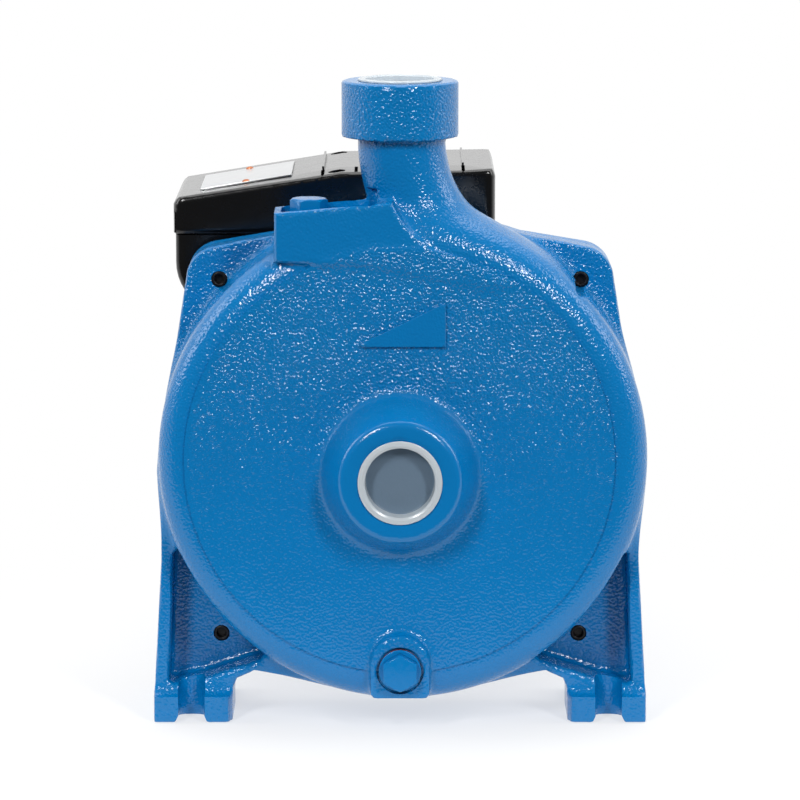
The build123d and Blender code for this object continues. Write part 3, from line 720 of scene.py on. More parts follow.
def stack_tree(stages: int) -> Tree:
    """A tree that stacks cones on seats: bolts and rivets.

    Args:
        stages: How many cones are stacked, each with its own two radii and height.

    Returns:
        The tree, with inputs Sides, Low, High and Height for each stage, and its number after each.
    """
    tree = Tree(f"stack_of_{stages}")
    gather = tree.add("GeometryNodeJoinGeometry")
    total: bpy.types.NodeSocket | None = None
    for stage in range(stages):
        cone = tree.add("GeometryNodeMeshCone")
        height = tree.number(f"Height {stage}")
        tree.link(tree.number(f"Sides {stage}", "NodeSocketInt"), cone.inputs["Vertices"])
        tree.link(tree.number(f"High {stage}"), cone.inputs["Radius Top"])
        tree.link(tree.number(f"Low {stage}"), cone.inputs["Radius Bottom"])
        tree.link(height, cone.inputs["Depth"])
        move = tree.add("GeometryNodeTransform")
        offset = tree.add("ShaderNodeCombineXYZ")
        tree.link(cone.outputs["Mesh"], move.inputs["Geometry"])
        tree.link(offset.outputs["Vector"], move.inputs["Translation"])
        if total is not None:
            tree.link(total, offset.inputs["Z"])
            step = tree.add("ShaderNodeMath", operation="ADD")
            tree.link(total, step.inputs[0])
            tree.link(height, step.inputs[1])
            total = step.outputs["Value"]
        else:
            total = height
        tree.link(move.outputs["Geometry"], gather.inputs["Geometry"])
    tree.close(tree.scatter(gather.outputs["Geometry"]))
    return tree


def thread_tree() -> Tree:
    """A tree that winds a small ridge into a screw thread.

    Returns:
        The tree, with inputs Turns, Radius, Length and Ridge.
    """
    steps_a_turn, ridge_corners = 48, 4
    tree = Tree("screw_thread")
    spiral = tree.add("GeometryNodeCurveSpiral")
    spiral.inputs["Resolution"].default_value = steps_a_turn
    tree.link(tree.number("Turns"), spiral.inputs["Rotations"])
    radius = tree.number("Radius")
    tree.link(radius, spiral.inputs["Start Radius"])
    tree.link(radius, spiral.inputs["End Radius"])
    tree.link(tree.number("Length"), spiral.inputs["Height"])
    ridge = tree.add("GeometryNodeCurvePrimitiveCircle")
    ridge.inputs["Resolution"].default_value = ridge_corners
    tree.link(tree.number("Ridge"), ridge.inputs["Radius"])
    sweep = tree.add("GeometryNodeCurveToMesh")
    sweep.inputs["Fill Caps"].default_value = True
    tree.link(spiral.outputs["Curve"], sweep.inputs["Curve"])
    tree.link(ridge.outputs["Curve"], sweep.inputs["Profile Curve"])
    tree.close(tree.scatter(sweep.outputs["Mesh"]))
    return tree


# ---------------------------------------------------------------- finishes
class Pattern(Enum):
    """What the fine relief of a finish looks like."""

    PEEL = "orange peel of a thick coat over a rough casting"
    SMOOTH = "levelled coat over a machined or sheet surface"
    MOULDED = "fine spark-eroded mould texture"
    TURNED = "fine rings left by a tool that turned round the Y axis"
    DRAWN = "fine lines along the Y axis"
    LAMINATED = "thin sheets stacked along the Y axis"
    WOUND = "strands of varnished wire"


@dataclass(frozen=True)
class Finish:
    """One surface finish: its colour, gloss and fine relief, as a node material."""

    name: str
    colour: tuple[float, float, float]
    second: tuple[float, float, float]
    roughness: float
    rougher: float
    pattern: Pattern
    metallic: float = 0.0
    relief: float = 0.02
    grain: float = 1.0
    coat: float = 0.0
    coat_roughness: float = 0.1
    specular: float = 0.5
    transmission: float = 0.0
    masked: bool = False
    cloud: float = 24.0
    rings_a_unit: float = 20.0

    def texture(self, tree: bpy.types.NodeTree, coordinates: bpy.types.NodeSocket) -> bpy.types.NodeSocket:
        """Adds the pattern's height texture.

        Args:
            tree: The material's node tree.
            coordinates: The object coordinates.

        Returns:
            The socket that carries the height.
        """
        stretch = (1.0, 0.02, 1.0) if self.pattern is Pattern.DRAWN else (1.0, 1.0, 1.0)
        mapping = tree.nodes.new("ShaderNodeMapping")
        mapping.inputs["Scale"].default_value = stretch
        tree.links.new(coordinates, mapping.inputs["Vector"])
        if self.pattern in (Pattern.TURNED, Pattern.LAMINATED, Pattern.WOUND):
            wave = tree.nodes.new("ShaderNodeTexWave")
            wave.wave_type = "RINGS" if self.pattern is Pattern.TURNED else "BANDS"
            if self.pattern is Pattern.TURNED:
                wave.rings_direction = "Y"
                mapping.inputs["Location"].default_value = (0.0, 0.0, -SHAFT_Z * MM)
            else:
                wave.bands_direction = "Y"
            wave.inputs["Scale"].default_value = 1 / (self.grain * MM) / self.rings_a_unit
            wave.inputs["Distortion"].default_value = 4.0 if self.pattern is Pattern.WOUND else 0.4
            tree.links.new(mapping.outputs["Vector"], wave.inputs["Vector"])
            return wave.outputs["Fac"]
        noise = tree.nodes.new("ShaderNodeTexNoise")
        noise.inputs["Scale"].default_value = 1 / (self.grain * MM)
        noise.inputs["Detail"].default_value = 0.0 if self.pattern is Pattern.PEEL else 2.0
        noise.inputs["Roughness"].default_value = 0.55
        tree.links.new(mapping.outputs["Vector"], noise.inputs["Vector"])
        return noise.outputs["Fac"]

    def material(self) -> bpy.types.Material:
        """Builds the node material of this finish.

        Returns:
            The new material.
        """
        made = bpy.data.materials.new(self.name)
        made.use_nodes = True
        tree = made.node_tree
        shader = tree.nodes["Principled BSDF"]
        shader.inputs["Metallic"].default_value = self.metallic
        shader.inputs["Specular IOR Level"].default_value = self.specular
        shader.inputs["Coat Weight"].default_value = self.coat
        shader.inputs["Coat Roughness"].default_value = self.coat_roughness
        shader.inputs["Transmission Weight"].default_value = self.transmission
        coordinates = tree.nodes.new("ShaderNodeTexCoord").outputs["Object"]
        cloud = tree.nodes.new("ShaderNodeTexNoise")
        cloud.inputs["Scale"].default_value = 1 / (self.cloud * self.grain * MM)
        cloud.inputs["Detail"].default_value = 3.0
        tree.links.new(coordinates, cloud.inputs["Vector"])
        shade = tree.nodes.new("ShaderNodeMix")
        shade.data_type = "RGBA"
        shade.inputs["A"].default_value = (*self.colour, 1.0)
        shade.inputs["B"].default_value = (*self.second, 1.0)
        tree.links.new(cloud.outputs["Fac"], shade.inputs["Factor"])
        tree.links.new(shade.outputs["Result"], shader.inputs["Base Color"])
        gloss = tree.nodes.new("ShaderNodeMapRange")
        gloss.inputs["To Min"].default_value = self.roughness
        gloss.inputs["To Max"].default_value = self.rougher
        tree.links.new(cloud.outputs["Fac"], gloss.inputs["Value"])
        tree.links.new(gloss.outputs["Result"], shader.inputs["Roughness"])
        bump = tree.nodes.new("ShaderNodeBump")
        bump.inputs["Distance"].default_value = self.relief * MM
        tree.links.new(self.texture(tree, coordinates), bump.inputs["Height"])
        tree.links.new(bump.outputs["Normal"], shader.inputs["Normal"])
        if self.masked:
            mask = tree.nodes.new("ShaderNodeAttribute")
            mask.attribute_name = "grain"
            tree.links.new(mask.outputs["Fac"], bump.inputs["Strength"])
        if self.coat > 0.0:
            tree.links.new(bump.outputs["Normal"], shader.inputs["Coat Normal"])
        return made


BLUE = (0.0, 0.178, 0.47)
DEEP_BLUE = (0.0, 0.16, 0.43)
FINISHES = {
    "casing_paint": Finish("cast_iron_blue_coat", BLUE, DEEP_BLUE, 0.15, 0.18, Pattern.PEEL, relief=0.58,
                           grain=0.95, specular=0.5, masked=True),
    "plug_paint": Finish("plug_blue_coat", BLUE, DEEP_BLUE, 0.2, 0.24, Pattern.SMOOTH, relief=0.08,
                         grain=1.4, coat=0.1, specular=0.25),
    "motor_paint": Finish("motor_blue_coat", BLUE, DEEP_BLUE, 0.24, 0.3, Pattern.PEEL, relief=0.5,
                          grain=1.4, coat=0.1, coat_roughness=0.15, specular=0.25),
    "cover_paint": Finish("sheet_blue_coat", BLUE, DEEP_BLUE, 0.2, 0.26, Pattern.SMOOTH, relief=0.05,
                          grain=2.0, coat=0.1, specular=0.25),
    "black_screw_steel": Finish("black_oxide_steel", (0.006, 0.006, 0.007), (0.014, 0.013, 0.014), 0.3,
                                0.42, Pattern.MOULDED, 0.3, 0.012, 0.3, specular=0.3),
    "zinc_steel": Finish("zinc_plated_steel", (0.6, 0.61, 0.62), (0.5, 0.5, 0.49), 0.26, 0.4,
                         Pattern.TURNED, 1.0, 0.01, 0.3),
    "shaft_steel": Finish("ground_steel", (0.55, 0.56, 0.58), (0.48, 0.49, 0.51), 0.18, 0.3, Pattern.TURNED,
                          1.0, 0.008, 0.25),
    "bearing_steel": Finish("polished_bearing_steel", (0.7, 0.71, 0.72), (0.64, 0.65, 0.67), 0.08, 0.16,
                            Pattern.TURNED, 1.0, 0.003, 0.25),
    "cage_steel": Finish("pressed_steel_sheet", (0.5, 0.5, 0.5), (0.42, 0.42, 0.43), 0.3, 0.42,
                         Pattern.MOULDED, 1.0, 0.01, 0.5),
    "spring_steel": Finish("drawn_spring_wire", (0.6, 0.6, 0.6), (0.5, 0.5, 0.5), 0.2, 0.32,
                           Pattern.MOULDED, 1.0, 0.008, 0.4),
    "lamination_steel": Finish("stacked_sheet_steel", (0.28, 0.29, 0.31), (0.2, 0.2, 0.22), 0.4, 0.55,
                               Pattern.LAMINATED, 0.9, 0.05, 0.5),
    "rotor_aluminium": Finish("cast_rotor_metal", (0.6, 0.61, 0.63), (0.5, 0.51, 0.53), 0.36, 0.5,
                              Pattern.LAMINATED, 1.0, 0.03, 0.5),
    "winding_copper": Finish("varnished_wire", (0.6, 0.24, 0.09), (0.42, 0.14, 0.05), 0.24, 0.4,
                             Pattern.WOUND, 0.8, 0.18, 0.8, coat=0.6),
    "impeller_brass": Finish("cast_yellow_metal", (0.72, 0.5, 0.2), (0.6, 0.4, 0.15), 0.24, 0.42,
                             Pattern.MOULDED, 1.0, 0.06, 0.7),
    "seal_rubber": Finish("black_rubber", (0.018, 0.018, 0.018), (0.03, 0.03, 0.03), 0.55, 0.7,
                          Pattern.MOULDED, 0.0, 0.02, 0.4),
    "seal_ceramic": Finish("lapped_ceramic", (0.85, 0.83, 0.77), (0.8, 0.78, 0.72), 0.12, 0.2,
                           Pattern.MOULDED, 0.0, 0.003, 0.4),
    "seal_carbon": Finish("carbon_graphite", (0.04, 0.04, 0.045), (0.06, 0.06, 0.06), 0.34, 0.46,
                          Pattern.TURNED, 0.2, 0.006, 0.3),
    "washer_fibre": Finish("red_fibre", (0.32, 0.06, 0.035), (0.24, 0.045, 0.03), 0.6, 0.75,
                           Pattern.MOULDED, 0.0, 0.03, 0.4),
    "box_plastic": Finish("black_moulded_plastic", (0.0012, 0.0012, 0.0014), (0.002, 0.002, 0.0022), 0.24,
                          0.3, Pattern.MOULDED, 0.0, 0.014, 0.35, coat=0.7, coat_roughness=0.16,
                          specular=0.2),
    "fan_plastic": Finish("grey_fan_plastic", (0.05, 0.05, 0.055), (0.07, 0.07, 0.075), 0.42, 0.52,
                          Pattern.MOULDED, 0.0, 0.02, 0.5),
    "capacitor_case": Finish("capacitor_plastic", (0.72, 0.72, 0.7), (0.66, 0.66, 0.64), 0.32, 0.42,
                             Pattern.MOULDED, 0.0, 0.01, 0.5),
    "terminal_plastic": Finish("terminal_moulding", (0.05, 0.045, 0.04), (0.07, 0.06, 0.055), 0.36, 0.46,
                               Pattern.MOULDED, 0.0, 0.02, 0.4),
    "terminal_brass": Finish("terminal_metal", (0.72, 0.52, 0.22), (0.62, 0.42, 0.17), 0.22, 0.34,
                             Pattern.TURNED, 1.0, 0.008, 0.3),
    "rivet_copper": Finish("copper_rivet", (0.62, 0.24, 0.12), (0.5, 0.18, 0.09), 0.3, 0.42,
                           Pattern.MOULDED, 1.0, 0.02, 0.3),
    "plate_aluminium": Finish("brushed_plate", (0.78, 0.79, 0.8), (0.7, 0.71, 0.72), 0.28, 0.36,
                              Pattern.DRAWN, 1.0, 0.006, 0.2),
    "cap_plastic": Finish("translucent_cap", (0.8, 0.86, 0.9), (0.7, 0.78, 0.84), 0.16, 0.24,
                          Pattern.MOULDED, 0.0, 0.02, 0.6, transmission=0.35),
    # Cap floor: its dark slate colour is painted shade, standing in for the dark port seen through the thin
    # translucent floor.
    "cap_floor": Finish("cap_floor_painted_port_shade", (0.105, 0.16, 0.22), (0.14, 0.2, 0.27), 0.3, 0.4, Pattern.MOULDED,
                        0.0, 0.05, 1.2, specular=0.4),
    "foot_steel": Finish("foot_blue_coat", BLUE, DEEP_BLUE, 0.26, 0.36, Pattern.SMOOTH, relief=0.06,
                         grain=1.6, coat=0.3),
}


class Palette:
    """The materials of every slot, made once."""

    def __init__(self) -> None:
        """Builds one material for each of the record's slots."""
        self.made = {slot: finish.material() for slot, finish in FINISHES.items()}

    def __getitem__(self, slot: str) -> bpy.types.Material:
        """The material of a slot."""
        return self.made[slot]

    def dress(self, node: bpy.types.Object) -> None:
        """Gives a carried-over CAD node the material of its slot.

        Args:
            node: The CAD node's object.
        """
        for place in node.material_slots:
            if place.name in self.made:
                place.material = self.made[place.name]


# ---------------------------------------------------------------- pump casing
@dataclass
class PumpCasing:
    """The cast casing: volute, legs, neck, suction boss, priming block and drain boss in one casting."""

    volute: Point = (1.1, 103.5)
    volute_radius: float = 92.5
    rim_round: float = 11.0
    face_y: float = -23.0
    face_radius: float = 81.0
    face_step: float = 1.0
    flange: tuple[float, float] = (13.0, 24.0)
    corner: float = 69.0
    ear_radius: float = 12.5
    disc_radius: float = 90.0
    disc_z: float = 101.5
    hull_sides: int = 61
    leg_front: float = -4.0
    leg_edge: float = 1.6
    leg_blend: float = 6.0
    crown: Point = (0.0, 116.0)
    half_width: float = 94.3
    flange_edge: float = 1.5
    flange_blend: float = 4.0
    foot_low: Point = (65.5, -8.0)
    foot_high: Point = (94.3, 50.0)
    foot_height: float = 10.0
    foot_edge: float = 0.9
    foot_corner: float = 1.6
    foot_blend: float = 5.0
    sole_edge: float = 0.6
    pocket_edge: float = 2.2
    pocket_lip: float = 2.4
    suction_y: float = -42.0
    boss_radius: float = 22.5
    boss_base: float = 30.0
    top_z: float = 245.7
    collar_radius: float = 22.0
    collar_height: float = 21.0
    neck_radius: float = 16.5
    neck_blend: float = 9.0
    curve_steps: int = 5
    bore_radius: float = 12.5
    entry_radius: float = 15.45
    port_radius: float = 15.146
    chamber_radius: float = 85.5
    chamber: tuple[float, float] = (-15.0, 13.0)
    chamber_round: float = 6.0
    mouth_radius: float = 78.0
    eye_radius: float = 20.3
    eye: tuple[float, float] = (-20.5, -14.0)
    suction_entry_y: float = -34.0
    thread_depth: float = 21.5
    entry_depth: float = 8.0
    port_chamfer: float = 0.6
    thread_start: float = 8.5
    thread_turns: float = 5.2
    thread_length: float = 12.0
    thread_ridge: float = 0.75
    step: float = 1.4
    fine: tuple[float, float, float] = (-25.4, -21.4, 0.5)
    grid_low: tuple[float, float, float] = (-97.3, -44.1, -2.2)
    grid_high: tuple[float, float, float] = (97.0, 52.0, 248.0)
    neck: tuple[Point, ...] = ((0.0, 236.0), (0.5, 227.0), (1.2, 216.0), (5.0, 202.0), (14.0, 187.5),
                               (28.0, 176.0), (46.0, 164.5))
    leg: tuple[Point, ...] = ((0.0, 10.5), (12.0, 11.3), (55.6, 19.3), (62.6, 16.2), (65.5, 9.0), (65.5, 0.0),
                              (94.3, 0.0), (94.3, 9.0), (91.2, 62.0), (91.0, 97.0),
                              (88.6, 107.0), (83.0, 116.0))
    pocket: tuple[Point, ...] = ((-84.6, 67.0), (-86.6, 65.0), (-88.6, 15.2), (-86.5, 14.2), (-74.4, 16.6),
                                 (-53.5, 23.5), (-51.2, 27.0), (-67.9, 41.2))
    block: tuple[Point, ...] = ((-46.9, 179.7), (-10.0, 178.0), (30.0, 170.0), (41.7, 170.7), (33.0, 175.8),
                                (22.4, 180.1), (17.0, 182.0), (12.3, 184.4), (8.2, 187.1), (4.7, 190.4),
                                (1.2, 194.6), (-1.2, 198.4), (-3.0, 202.0), (-46.9, 198.3))
    block_front: tuple[Point, ...] = ((-47.0, -24.5), (-38.0, -24.4), (-12.0, -23.1), (40.0, -23.0))
    arrow: tuple[Point, ...] = ((-17.2, 147.9), (17.1, 147.9), (17.1, 164.6))
    arrow_height: float = 1.6
    plate: Point = (-0.2, 104.0)
    drain_arch: tuple[float, float, float] = (11.2, 26.8, 13.6)
    drain_span: tuple[float, float] = (-27.0, 13.0)
    priming: Point = (-34.1, -14.0)
    recess_low: Point = (-44.5, -22.4)
    recess_high: Point = (-8.5, -5.4)
    recess: tuple[float, float] = (194.8, 206.0)
    recess_corner: float = 2.2
    priming_hole: tuple[float, float] = (170.0, 196.0)
    plug_hole: float = 5.8
    drain_z: float = 24.6
    drain_seat: tuple[float, float] = (9.0, -25.0)
    drain_hole_end: float = -9.0
    bolt_hole: float = 3.1
    slot_x: float = 80.0
    slot_low: Point = (-5.0, -30.0)
    slot_high: Point = (5.0, 5.0)
    slot_corner: float = 4.99
    slot_flare: tuple[float, float] = (1.2, 2.5)
    slot_top: float = 16.0
    machined: float = 0.03
    coarse: float = 0.42

    def ears(self, x: Numbers, z: Numbers) -> Numbers:
        """Signed distance to the flange's outline: the hull of four ears and a disc.

        Args:
            x: Coordinates to the right.
            z: Coordinates upwards.

        Returns:
            The signed distance in the flange's plane.
        """
        side = np.abs(x)
        reach: Numbers | float = -np.inf
        for angle in np.linspace(-math.pi / 2, math.pi / 2, self.hull_sides):
            c, s = math.cos(angle), math.sin(angle)
            ear = self.corner * c + (SHAFT_Z + math.copysign(self.corner, s)) * s + self.ear_radius
            disc = self.disc_z * s + self.disc_radius
            reach = np.maximum(reach, side * c + z * s - max(ear, disc))
        return reach

    def shell(self, x: Numbers, y: Numbers, z: Numbers) -> Numbers:
        """The outside of the volute, its legs, its flange and its feet.

        Args:
            x: Coordinates to the right.
            y: Coordinates towards the motor.
            z: Coordinates upwards.

        Returns:
            The signed distance to the shell.
        """
        side = np.abs(x)
        back = self.flange[1]
        out = np.hypot(x - self.volute[0], z - self.volute[1])
        front = self.face_y + self.face_step
        body = round_max(out - self.volute_radius, front - y, self.rim_round)
        body = np.maximum(body, y - back)
        outline = [*self.leg, self.crown, *mirrored(self.leg)[:-1]]
        web = slab(polygon(x, z, outline), y, self.leg_front, back + 3, self.leg_edge)
        body = blend_min(body, np.maximum(web, y - back), self.leg_blend)
        flange = slab(self.ears(x, z), y, self.flange[0], back + 2, self.flange_edge)
        body = blend_min(body, np.maximum(flange, y - back), self.flange_blend)
        pockets = slab(polygon(-side, z, self.pocket), y, self.leg_front - 12, self.flange[0],
                       self.pocket_edge)
        body = cut(body, pockets, self.pocket_lip)
        foot = rectangle(side, y, self.foot_low, self.foot_high, self.foot_corner)
        foot = round_max(foot, np.maximum(z - self.foot_height, -z), self.foot_edge)
        outside = np.maximum(side - self.half_width, -z)
        return round_max(blend_min(body, foot, self.foot_blend), outside, self.sole_edge)

    def neck_path(self, x: Numbers, y: Numbers, z: Numbers) -> Numbers:
        """Distance to the curved middle line of the discharge neck."""
        return np.hypot(polyline(x, z, curve_points(self.neck, self.curve_steps)), y)

    def priming_block(self, x: Numbers, y: Numbers, z: Numbers) -> Numbers:
        """Signed distance to the block that carries the priming plug."""
        block_x, block_y = zip(*self.block_front)
        return slab(polygon(x, z, self.block), y, np.interp(x, block_x, block_y), -3.0, 1.5)

    def suction_boss(self, y: Numbers, radial: Numbers) -> Numbers:
        """Signed distance to the cone round the suction port."""
        rise = (self.boss_base - self.boss_radius) / (self.face_y - self.suction_y)
        cone = (radial - self.boss_base + rise * (self.face_y - y)) / math.hypot(1.0, rise)
        return round_max(cone, np.maximum(self.suction_y - y, y + 12.0), 1.7)

    def drain_boss(self, x: Numbers, y: Numbers, z: Numbers) -> Numbers:
        """Signed distance to the arched boss of the drain plug."""
        radius, middle, low = self.drain_arch
        arch = np.minimum(np.hypot(x, z - middle) - radius,
                          rectangle(x, z, (-radius, low), (radius, middle), 2.4))
        return slab(arch, y, *self.drain_span, 1.5)

    def fittings(self, x: Numbers, y: Numbers, z: Numbers, body: Numbers) -> Numbers:
        """Adds the neck, the collar, the bosses, the face plate and the arrow to the shell.

        Args:
            x: Coordinates to the right.
            y: Coordinates towards the motor.
            z: Coordinates upwards.
            body: Signed distance to the shell.

        Returns:
            The signed distance to the whole outside.
        """
        neck = self.neck_path(x, y, z) - self.neck_radius
        body = blend_min(body, np.maximum(neck, z - self.top_z + 6), self.neck_blend)
        around = np.hypot(x, y) - self.collar_radius
        collar = round_max(around, np.maximum(self.top_z - self.collar_height - z, z - self.top_z), 1.3)
        body = blend_min(body, collar, 2.6)
        out = np.hypot(x - self.plate[0], z - self.plate[1]) - self.face_radius
        plate = round_max(out, np.maximum(self.face_y - y, y + 14.0), 0.2)
        body = np.minimum(body, plate)
        body = blend_min(body, self.priming_block(x, y, z), 2.4)
        body = blend_min(body, self.suction_boss(y, np.hypot(x, z - SHAFT_Z)), 3.2)
        body = blend_min(body, self.drain_boss(x, y, z), 3.4)
        arrow = slab(polygon(x, z, self.arrow), y, self.face_y - self.arrow_height, self.face_y + 2, 0.35)
        return blend_min(body, arrow, 0.7)

    def chamber_cuts(self, x: Numbers, y: Numbers, z: Numbers, body: Numbers) -> Numbers:
        """Takes out the volute chamber and both ports.

        Args:
            x: Coordinates to the right.
            y: Coordinates towards the motor.
            z: Coordinates upwards.
            body: Signed distance to the whole outside.

        Returns:
            The signed distance to the hollow casting.
        """
        out = np.hypot(x - self.volute[0], z - self.volute[1])
        radial = np.hypot(x, z - SHAFT_Z)
        around = np.hypot(x, y)
        low, high = self.chamber
        tools = [
            round_max(out - self.chamber_radius, np.maximum(low - y, y - high), self.chamber_round),
            np.maximum(radial - self.mouth_radius, high - 1 - y),
            np.maximum(radial - self.port_radius, y - self.eye[0]),
            np.maximum(radial - self.entry_radius, y - self.suction_entry_y),
            np.maximum(radial - self.eye_radius, np.maximum(self.eye[0] - y, y - self.eye[1])),
            self.neck_path(x, y, z) - self.bore_radius,
            np.maximum(around - self.port_radius, self.top_z - self.thread_depth - z),
            np.maximum(around - self.entry_radius, self.top_z - self.entry_depth - z),
            round_max(radial - self.entry_radius - self.port_chamfer,
                      y - self.suction_y - self.port_chamfer, 0.0),
            np.maximum(around - self.entry_radius - 0.5, self.top_z - 0.5 - z),
        ]
        for tool in tools:
            body = cut(body, tool)
        return body

    def hollows(self, x: Numbers, y: Numbers, z: Numbers, body: Numbers) -> Numbers:
        """Takes out the chamber, the ports, the recesses, the bolt holes and the foot slots.

        Args:
            x: Coordinates to the right.
            y: Coordinates towards the motor.
            z: Coordinates upwards.
            body: Signed distance to the whole outside.

        Returns:
            The signed distance to the finished casting.
        """
        body = self.chamber_cuts(x, y, z, body)
        recess = rectangle(x, y, self.recess_low, self.recess_high, self.recess_corner)
        body = cut(body, np.maximum(recess, np.maximum(self.recess[0] - z, z - self.recess[1])), 0.5)
        hole = np.hypot(x - self.priming[0], y - self.priming[1]) - self.plug_hole
        low, high = self.priming_hole
        body = cut(body, np.maximum(hole, np.maximum(low - z, z - high)))
        below = np.hypot(x, z - self.drain_z)
        body = cut(body, np.maximum(below - self.drain_seat[0], y - self.drain_seat[1]), 0.5)
        body = cut(body, np.maximum(below - self.plug_hole, y - self.drain_hole_end))
        bolt = np.hypot(np.abs(x) - self.corner, np.abs(z - SHAFT_Z) - self.corner)
        body = cut(body, bolt - self.bolt_hole)
        wider, height = self.slot_flare
        flare = wider * np.clip((height - z) / height, 0.0, 1.0)
        slot = rectangle(np.abs(x) - self.slot_x, y, self.slot_low, self.slot_high, self.slot_corner)
        return cut(body, np.maximum(slot - flare, z - self.slot_top), 0.8)

    def solid(self, x: Numbers, y: Numbers, z: Numbers) -> Numbers:
        """Signed distance to the finished casting."""
        return self.hollows(x, y, z, self.fittings(x, y, z, self.shell(x, y, z)))

    def grain(self, points: Numbers) -> Numbers:
        """How rough the coat is at each vertex: full on the face, little on bosses, none where machined.

        Args:
            points: Vertices in millimetres.

        Returns:
            One value for each vertex.
        """
        x, y, z = points.T
        out = np.hypot(x - self.volute[0], z - self.volute[1])
        radial = np.hypot(x, z - SHAFT_Z)
        around = np.hypot(x, y)
        rough = np.full(len(points), self.coarse)
        rising = 0.4 + 0.6 * np.clip((z - 60) / 80, 0, 1)
        rough = np.where((out < self.face_radius) & (y < -20), rising, rough)
        rough = np.where((z > 120) & (y > 9) & (out > 84), 0.8, rough)
        rough = np.where((radial < 31.5) & (y < -23.6), 0.3, rough)
        inside_arrow = (np.abs(x) < 17.3) & (z > 147.6) & (z < 165.0) & (y < self.face_y - 0.8)
        rough = np.where(inside_arrow, 0.3, rough)
        rough = np.where((radial < 25.0) & (y < -40.0), 0.12, rough)
        rough = np.where((around < 24) & (z > 222), 0.75, rough)
        rough = np.where((around < 23) & (z > self.top_z - 0.9), 0.1, rough)
        joint_face = np.abs(y - self.flange[1] - 0.05) < 0.15
        bores = ((radial < 16) & (y < -20)) | ((around < 16) & (z > 222))
        return np.where(bores | joint_face, self.machined, rough)

    def build(self, palette: Palette) -> None:
        """Makes the casting and the threads cut in its two ports.

        Args:
            palette: The materials of every slot.
        """
        xs, ys, zs = (spaced(low, high, self.step, [self.fine] if axis == 1 else [])
                      for axis, (low, high) in enumerate(zip(self.grid_low, self.grid_high)))
        points, quads = Contour(self.solid, xs, ys, zs).mesh()
        casting = new_piece("casing_casting", points, quads, palette["casing_paint"])
        mask = casting.data.attributes.new("grain", "FLOAT", "POINT")
        kept = np.empty(len(casting.data.vertices) * 3)
        casting.data.vertices.foreach_get("co", kept)
        mask.data.foreach_set("value", self.grain(kept.reshape(-1, 3) / MM))
        settle(casting, "pump_frame", "casing_paint", "pump_casing")
        threads = thread_tree()
        ports = (("suction_port_thread", Vector((0, self.suction_y + self.thread_start, SHAFT_Z)), -90.0),
                 ("discharge_port_thread", Vector((0, 0, self.top_z - self.thread_start)), 180.0))
        for name, place, angle in ports:
            thread = threads.run(name, [(place, Euler((math.radians(angle), 0, 0)))], palette["zinc_steel"],
                                 Turns=self.thread_turns, Radius=(self.port_radius + 0.25) * MM,
                                 Length=self.thread_length * MM, Ridge=self.thread_ridge * MM)
            settle(thread, "pump_frame", "casing_paint")


@dataclass
class CasingBolts:
    """Four bolts from the motor side, whose cupped ends show in the ears."""

    spread: float = 69.0
    shank: float = 2.95
    cup: float = 1.8
    cup_depth: float = 2.0
    tip_y: float = 13.4
    head_y: float = 33.0
    head_flats: float = 10.0
    head_height: float = 4.2
    chamfer: float = 0.6
    overlap: float = 0.3
    ring_segments: int = 40

    def build(self, palette: Palette) -> None:
        """Stacks each bolt from its cupped tip to its hexagon head.

        Args:
            palette: The materials of every slot.
        """
        back = Euler((math.radians(-90), 0, 0))
        seats = [(Vector((sx * self.spread, self.tip_y + self.cup_depth, SHAFT_Z + sz * self.spread)), back)
                 for sx in (-1, 1) for sz in (-1, 1)]
        hexagon = self.head_flats / math.sqrt(3)
        shank = self.head_y - self.tip_y - self.cup_depth
        stages = [(ROUND, self.shank - 0.2, self.shank, self.chamfer),
                  (ROUND, self.shank, self.shank, shank - self.chamfer),
                  (HEXAGON, hexagon, hexagon, self.head_height - self.chamfer),
                  (ROUND, self.head_flats * 0.52, self.head_flats * 0.46, self.chamfer)]
        bolts = run_stack("casing_bolt_set", seats, palette["black_screw_steel"], stages)
        cups = []
        for place, _ in seats:
            start = -self.cup_depth - self.overlap
            ring = eased([(self.cup - 0.3, self.overlap), (self.cup, start), (self.shank + 0.1, start),
                          (self.shank + 0.1, self.overlap)], [0.0, 0.45, 0.6, 0.0])
            cup = Turned(ring, Axis.BACK, tuple(place), self.ring_segments)
            cups.append(cup.piece("cup", palette["black_screw_steel"]))
        settle(join(bolts, *cups), "pump_frame", "black_screw_steel", "casing_bolts")


def run_stack(name: str, seats: Sequence[tuple[Vector, Euler]], material: bpy.types.Material,
              stages: Sequence[tuple[int, float, float, float]]) -> bpy.types.Object:
    """Runs a stack of cones on seats.

    Args:
        name: Name of the piece.
        seats: Where each copy stands and how it is turned.
        material: The piece's material.
        stages: Sides, lower radius, upper radius and height of each stage, in millimetres.

    Returns:
        The finished piece.
    """
    sizes: dict[str, float | int] = {}
    for number, (sides, low, high, height) in enumerate(stages):
        sizes |= {f"Sides_{number}": sides, f"Low_{number}": low * MM, f"High_{number}": high * MM,
                  f"Height_{number}": height * MM}
    return stack_tree(len(stages)).run(name, seats, material, **sizes)


